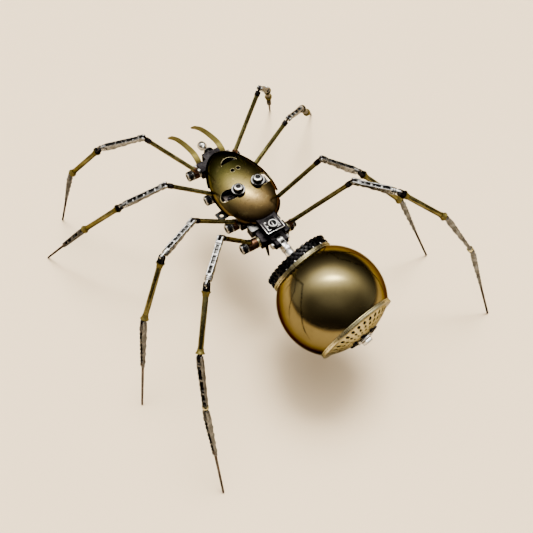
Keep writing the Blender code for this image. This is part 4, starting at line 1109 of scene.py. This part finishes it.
def strip(piece, dark, matrix, start, end, first, last, bumps, notch=0.0):
    """A folded strip open along its top: two side walls, cross rivets and bridges, over a sunk web
    in the dark piece, painted shade down in the slot.
    """
    top, bottom = [], []
    for i in range(STRIP_STATIONS + 1):
        share = i / STRIP_STATIONS
        x = start + (end - start) * share
        half = first + (last - first) * share
        ease = min(1.0, share * 8, (1 - share) * 8)
        bump = STRIP_BUMP * ease * max(0.0, math.sin(2 * math.pi * bumps * share - 0.6)) ** 0.6
        saw = notch * ease * (1 if math.sin(2 * math.pi * 2 * bumps * share) > 0.35 else 0)
        top.append((x, half - saw))
        bottom.append((x, -half - bump + notch))
    outline = [*top, *reversed(bottom)]
    inside = STRIP_HALF_WIDTH - STRIP_WALL
    for low in (-STRIP_HALF_WIDTH, inside):
        piece.plate(matrix, outline, low, low + STRIP_WALL, 0.07)
    # The sunk web is painted shade: a darker plate down in the open slot.
    web_low, web_high = -min(first, last) * 0.8, -0.05
    dark.box(matrix, (start + 0.2, -inside, web_low), (end - 0.2, inside, web_high), 0.05)
    for i in range(bumps):
        x = start + (end - start) * (i + 0.5) / bumps
        turn, reach = matrix.to_3x3(), STRIP_HALF_WIDTH
        spot = placed(matrix @ Vector((x * MM, 0, 0)), turn @ Y_AXIS, turn @ X_AXIS)
        piece.turned(spot, mirrored(((reach, 0.5), (reach + 0.12, 0.4), (reach + 0.2, 0))), 14)
    for share in STRIP_BRIDGES:
        x = start + (end - start) * share
        half = first + (last - first) * share
        piece.box(matrix, (x - 0.5, -inside, web_high - 0.1), (x + 0.5, inside, half - 0.12), 0.05)


def span(start, end, axis):
    """A segment's direction, its frame, and its length in mm."""
    along = (end - start).normalized()
    return along, placed(start, along, axis), (end - start).length / MM


def femur(side, pair, start, end, axis):
    name = f"femur_{side}_{pair}"
    along, home, length = span(start, end, axis)
    face = length - SLEEVE_FACE
    profile = (
        (-0.2, 0), (-0.2, 0.9), (0.3, 1.35), (1.4, 1.35), (1.6, TUBE_R), (face - 3.2, TUBE_R),
        (face - 3.1, TUBE_R + 0.12), (face - 2.7, TUBE_R + 0.12), (face - 2.6, 0),
    )
    lathe(f"{name}_tube", home, [(profile, 32)], "tube_brass", name, [name])
    cap = Piece(f"{name}_knee", Matrix.Translation(home.translation))
    cap.turned(home, drum(face - 2.75, face, SLEEVE_R - 0.1, 0.3))
    tongue(cap, end, along, axis)
    cap.done("dark_steel", name)
    hip_barrel(name, side, pair, start)


def hip_barrel(name, side, pair, root):
    """The knurled copper barrel, its washers, and the neck that carries the femur."""
    hip = hip_frame(side, pair)
    inner, outer = barrel_span(side, pair)
    barrel = Piece(f"{name}_barrel", hip)
    first, last = inner + 1.15, outer - 0.3
    rows = [(first + (last - first) * i / 9, BARREL_R) for i in range(10)]
    start, shoulder = inner + 1.0, BARREL_R - 0.4
    profile = [(start, 1.8), (start, shoulder), *rows, (outer, shoulder), (outer, 1.8)]
    barrel.turned(hip, profile, 44, BARREL_KNURL)
    base = hip @ Vector(((outer - 1.9) * MM, 0, 0)) + Z_AXIS * 1.9 * MM
    neck = placed(base, root - base, Y_AXIS)
    reach = (root - base).length / MM
    barrel.turned(neck, ((0, 0), (0, 1.45), (reach * 0.7, 1.5), (reach, 1.1), (reach, 0)), 24)
    ball_r = 1.65
    ball_at = upright(root)
    turns = [math.pi * i / 12 for i in range(1, 12)]
    rounded = [(-ball_r * math.cos(turn), ball_r * math.sin(turn)) for turn in turns]
    barrel.turned(ball_at, [(-ball_r, 0), *rounded, (ball_r, 0)], 28)
    barrel.done("copper", name)
    washers = []
    for i, radius in enumerate((3.0, 2.6, 3.0)):
        start = inner + 0.02 + 0.34 * i
        washers.append((washer(start, start + 0.27, 1.8, radius, 0.07), 32))
    lathe(f"{name}_washers", hip, washers, "light_brass" if pair == 4 else "chrome", name)


def folded(name, home, hinge, end, halves, bumps, notch, strip_and_shade_metals, unturned=False, eye=None):
    """A segment's strip, with the fork on its hinge and perhaps an eye at its end, and its web in the
    second, darker metal as painted shade.

    hinge and eye are a place, the segment's direction and the axis there. An unturned piece's box is no
    wider than the piece is, which matters at the model's edge.
    """
    piece = Piece(f"{name}_strip", Matrix.Translation(home.translation) if unturned else home)
    shaded_web = Piece(f"{name}_web", home)
    fork(piece, *hinge)
    strip(piece, shaded_web, home, FORK_END - 0.2, end, *halves, bumps, notch)
    if eye:
        tongue(piece, *eye)
    piece.done(strip_and_shade_metals[0], name, [name])
    shaded_web.done(strip_and_shade_metals[1], name)


def tibia(side, pair, start, end, axis, next_axis):
    name = f"tibia_{side}_{pair}"
    along, home, length = span(start, end, -axis)
    face = length - SLEEVE_FACE
    hinge, halves = (start, along, axis), (STRIP_SLIM, STRIP_WIDE)
    # The second metal, a darker grey, is painted shade on the web down in the slot.
    strip_and_shade_metals = ("silver_strip", "grey_strip")
    folded(name, home, hinge, face - 2.2, halves, 3, 0.0, strip_and_shade_metals, unturned=True)
    clamp = Piece(f"{name}_clamp", home)
    profile = (
        (face - 2.6, 0), (face - 2.6, 1.6), (face - 2.45, 1.85), (face - 2.0, 1.9), (face - 1.8, 1.6),
        (face - 1.6, 1.9), (face - 0.9, 1.9), (face - 0.7, 1.6), (face - 0.5, 1.85), (face - 0.1, 1.85),
        (face, 1.6), (face, 0),
    )
    clamp.turned(home, profile, 24)
    tongue(clamp, end, along, next_axis)
    clamp.done("chrome", name)


def flare(mouth, inward):
    """The closed section of a flared collar, with its mouth at a place and its neck inward from it."""
    section = (
        (0, COLLAR_R), (0, COLLAR_R - 0.22), (0.45, 1.75), (1.2, 1.45), (2.4, 1.42),
        (2.4, 1.62), (1.3, 1.68), (0.8, 1.95), (0.3, COLLAR_R),
    )
    return [(mouth + inward * along, radius) for along, radius in section]


def metatarsus(side, pair, start, end, axis, next_axis):
    name = f"metatarsus_{side}_{pair}"
    along, home, length = span(start, end, -axis)
    face = length - SLEEVE_FACE
    tube = [(drum(FORK_END + 0.3, face - 0.3, TUBE_R + 0.2, 0.2), 32)]
    lathe(f"{name}_tube", home, tube, "tube_brass", name, [name])
    collars = [(flare(FORK_END - 0.1, 1), 32), (flare(face, -1), 32)]
    lathe(f"{name}_collars", home, collars, "fang_brass", name)
    ends = Piece(f"{name}_hinges", home)
    fork(ends, start, along, axis)
    tongue(ends, end, along, next_axis)
    ends.turned(home, drum(face - 1.2, face - 0.25, 1.4, 0.1))
    ends.done("dark_steel", name)


def tarsus_link(side, pair, start, end, axis, next_axis):
    name = f"tarsus_link_{side}_{pair}"
    along, home, length = span(start, end, -axis)
    face = length - SLEEVE_FACE
    hinge, halves = (start, along, axis), (STRIP_WIDE, STRIP_SLIM)
    # The second metal, black, is painted shade on the web down in the slot.
    strip_and_shade_metals = ("grey_strip", "black_oxide")
    folded(name, home, hinge, face - 1.0, halves, 4, 0.3, strip_and_shade_metals, eye=(end, along, next_axis))
    lathe(f"{name}_collar", home, [(drum(face - 1.5, face, 1.7, 0.2), 32)], "light_brass", name)


def tarsus(side, pair, start, end, axis):
    """A notched folded strip, then a slim needle with a rounded end."""
    name = f"tarsus_{side}_{pair}"
    along, home, length = span(start, end, -axis)
    strip_end = length * STRIP_SHARE
    hinge, halves = (start, along, axis), (STRIP_WIDE, STRIP_SLIM)
    # The second metal, black, is painted shade on the web down in the slot.
    folded(name, home, hinge, strip_end, halves, 5, 0.35, ("grey_strip", "black_oxide"))
    needle = Piece(f"{name}_needle", Matrix.Translation(home.translation))
    rounded = [(length + NEEDLE_R * math.sin(t), NEEDLE_R * math.cos(t)) for t in (0.0, 0.4, 0.8, 1.2)]
    profile = [
        (strip_end - 3, 0), (strip_end - 3, 0.75), (strip_end + 0.4, 0.8), (strip_end + 1.2, 0.72),
        (length * 0.8, 0.66), *rounded, (length + NEEDLE_R, 0),
    ]
    needle.turned(home, profile, 20)
    needle.done("bronze_needle", name)


def leg(side, pair):
    points, names = leg_points(side, pair)
    axes = [joint_axis(name) for name in names]
    femur(side, pair, points[0], points[1], axes[0])
    tibia(side, pair, points[1], points[2], axes[0], axes[1])
    metatarsus(side, pair, points[2], points[3], axes[1], axes[2])
    if pair == 4:
        tarsus_link(side, pair, points[3], points[4], axes[2], axes[3])
    tarsus(side, pair, points[-2], points[-1], axes[-1])


# ---------------------------------------------------------------- studio


def floor():
    """A pale top that darkens well outside the picture, as painted shade: a dim room for the metal
    to reflect.
    """
    bm = bmesh.new()
    bmesh.ops.create_grid(bm, x_segments=1, y_segments=1, size=3.0)
    obj = raw_object(bm)
    obj.name = "floor"
    material = bpy.data.materials.new("floor")
    material.use_nodes = True
    tree = material.node_tree
    shader = tree.nodes["Principled BSDF"]
    coords = tree.nodes.new("ShaderNodeTexCoord").outputs["Object"]
    tone = ramp(tree, noise(tree, coords, 3.0), ((0.3, FLOOR_TONES[0]), (0.7, FLOOR_TONES[1])))
    # Painted shade: the floor darkens with distance from the middle.
    reach = node(tree, "ShaderNodeVectorMath", {0: coords}, operation="LENGTH")
    far = spread(tree, reach.outputs["Value"], 0.0, 1.0, *FLOOR_FADE)
    tone = mix(tree, "MIX", far, tone, FLOOR_FAR_SHADE)
    tree.links.new(tone, shader.inputs["Base Color"])
    shader.inputs["Roughness"].default_value = 0.9
    shader.inputs["Specular IOR Level"].default_value = 0.1
    obj.data.materials.append(material)


def lights():
    """One soft sun overhead, for the shadows; the room's own glow makes the glints."""
    data = bpy.data.lights.new("sun", "SUN")
    data.energy = SUN_STRENGTH
    data.angle = SUN_ANGLE
    data.color = SUN_COLOUR
    obj = linked("sun", data)
    obj.visible_glossy = False
    obj.rotation_euler = Vector(SUN_FROM).to_track_quat("Z", "Y").to_euler()


def glow(tree, coords, facing, across, wide, tall):
    """A soft patch of light round a direction, wide along across and tall square to it."""
    facing = Vector(facing).normalized()
    across = (Vector(across) - facing * facing.dot(Vector(across))).normalized()

    def dot(direction):
        inputs = {0: coords, 1: direction}
        return node(tree, "ShaderNodeVectorMath", inputs, operation="DOT_PRODUCT").outputs["Value"]

    off_across, off_up = dot(across / wide), dot(facing.cross(across) / tall)
    squares = [arithmetic(tree, "MULTIPLY", off, off) for off in (off_across, off_up)]
    total = arithmetic(tree, "ADD", *squares)
    patch = arithmetic(tree, "EXPONENT", arithmetic(tree, "MULTIPLY", total, -1.0))
    return arithmetic(tree, "MULTIPLY", patch, arithmetic(tree, "GREATER_THAN", dot(facing)))


def world():
    """A dim room with soft overhead lights, so that polished metal has bright bands, dark edges."""
    made = bpy.data.worlds.new("studio")
    bpy.context.scene.world = made
    made.use_nodes = True
    tree = made.node_tree
    background = tree.nodes["Background"]
    coords = tree.nodes.new("ShaderNodeTexCoord").outputs["Generated"]
    split = node(tree, "ShaderNodeSeparateXYZ", {"Vector": coords})
    colour = ramp(tree, spread(tree, split.outputs["Z"], 0.0, 1.0, -1.0, 1.0), ROOM_TONES)
    for blend, share, facing, across, wide, tall, tone in GLOWS:
        patch = glow(tree, coords, facing, across, wide, tall)
        colour = mix(tree, blend, arithmetic(tree, "MULTIPLY", patch, share), colour, tone)
    tree.links.new(colour, background.inputs["Color"])
    background.inputs["Strength"].default_value = WORLD_STRENGTH


def camera():
    """Looks at the body's origin from the left rear, 57 degrees above the floor and 480 mm away."""
    data = bpy.data.cameras.new("camera")
    data.lens, data.sensor_width = LENS, SENSOR
    data.shift_x, data.shift_y = CAMERA_SHIFT
    obj = linked("camera", data)
    right, up = Vector(CAMERA_RIGHT), Vector(CAMERA_UP)
    toward = right.cross(up)
    matrix = Matrix((right, up, toward)).transposed().to_4x4()
    matrix.translation = ORIGIN + toward * CAMERA_AWAY
    obj.matrix_world = matrix
    bpy.context.scene.camera = obj


# ---------------------------------------------------------------- assembly

for left_or_right in SIDES:
    for number in PAIRS:
        leg(left_or_right, number)
        hip_screw(left_or_right, number)
    shell_screw(left_or_right)
    fang(left_or_right)
front_stud()
front_shell()
under_slots()
fang_axle()
waist()
side_plates()
abdomen()
# Two parts of the model show as they are, with their edges eased and a finish of their own.
for kept in ("chassis", "waist_link"):
    carried = frame["nodes"][kept]
    carried.data.materials.clear()
    carried.data.materials.append(MATERIALS["dark_steel"])
    bevel = carried.modifiers.new("Eased", "BEVEL")
    bevel.width = EASE
    bevel.segments = 2
    bevel.limit_method = "ANGLE"
    bevel.angle_limit = EASE_ANGLE
floor()
lights()
world()
camera()

bpy.context.view_layer.update()
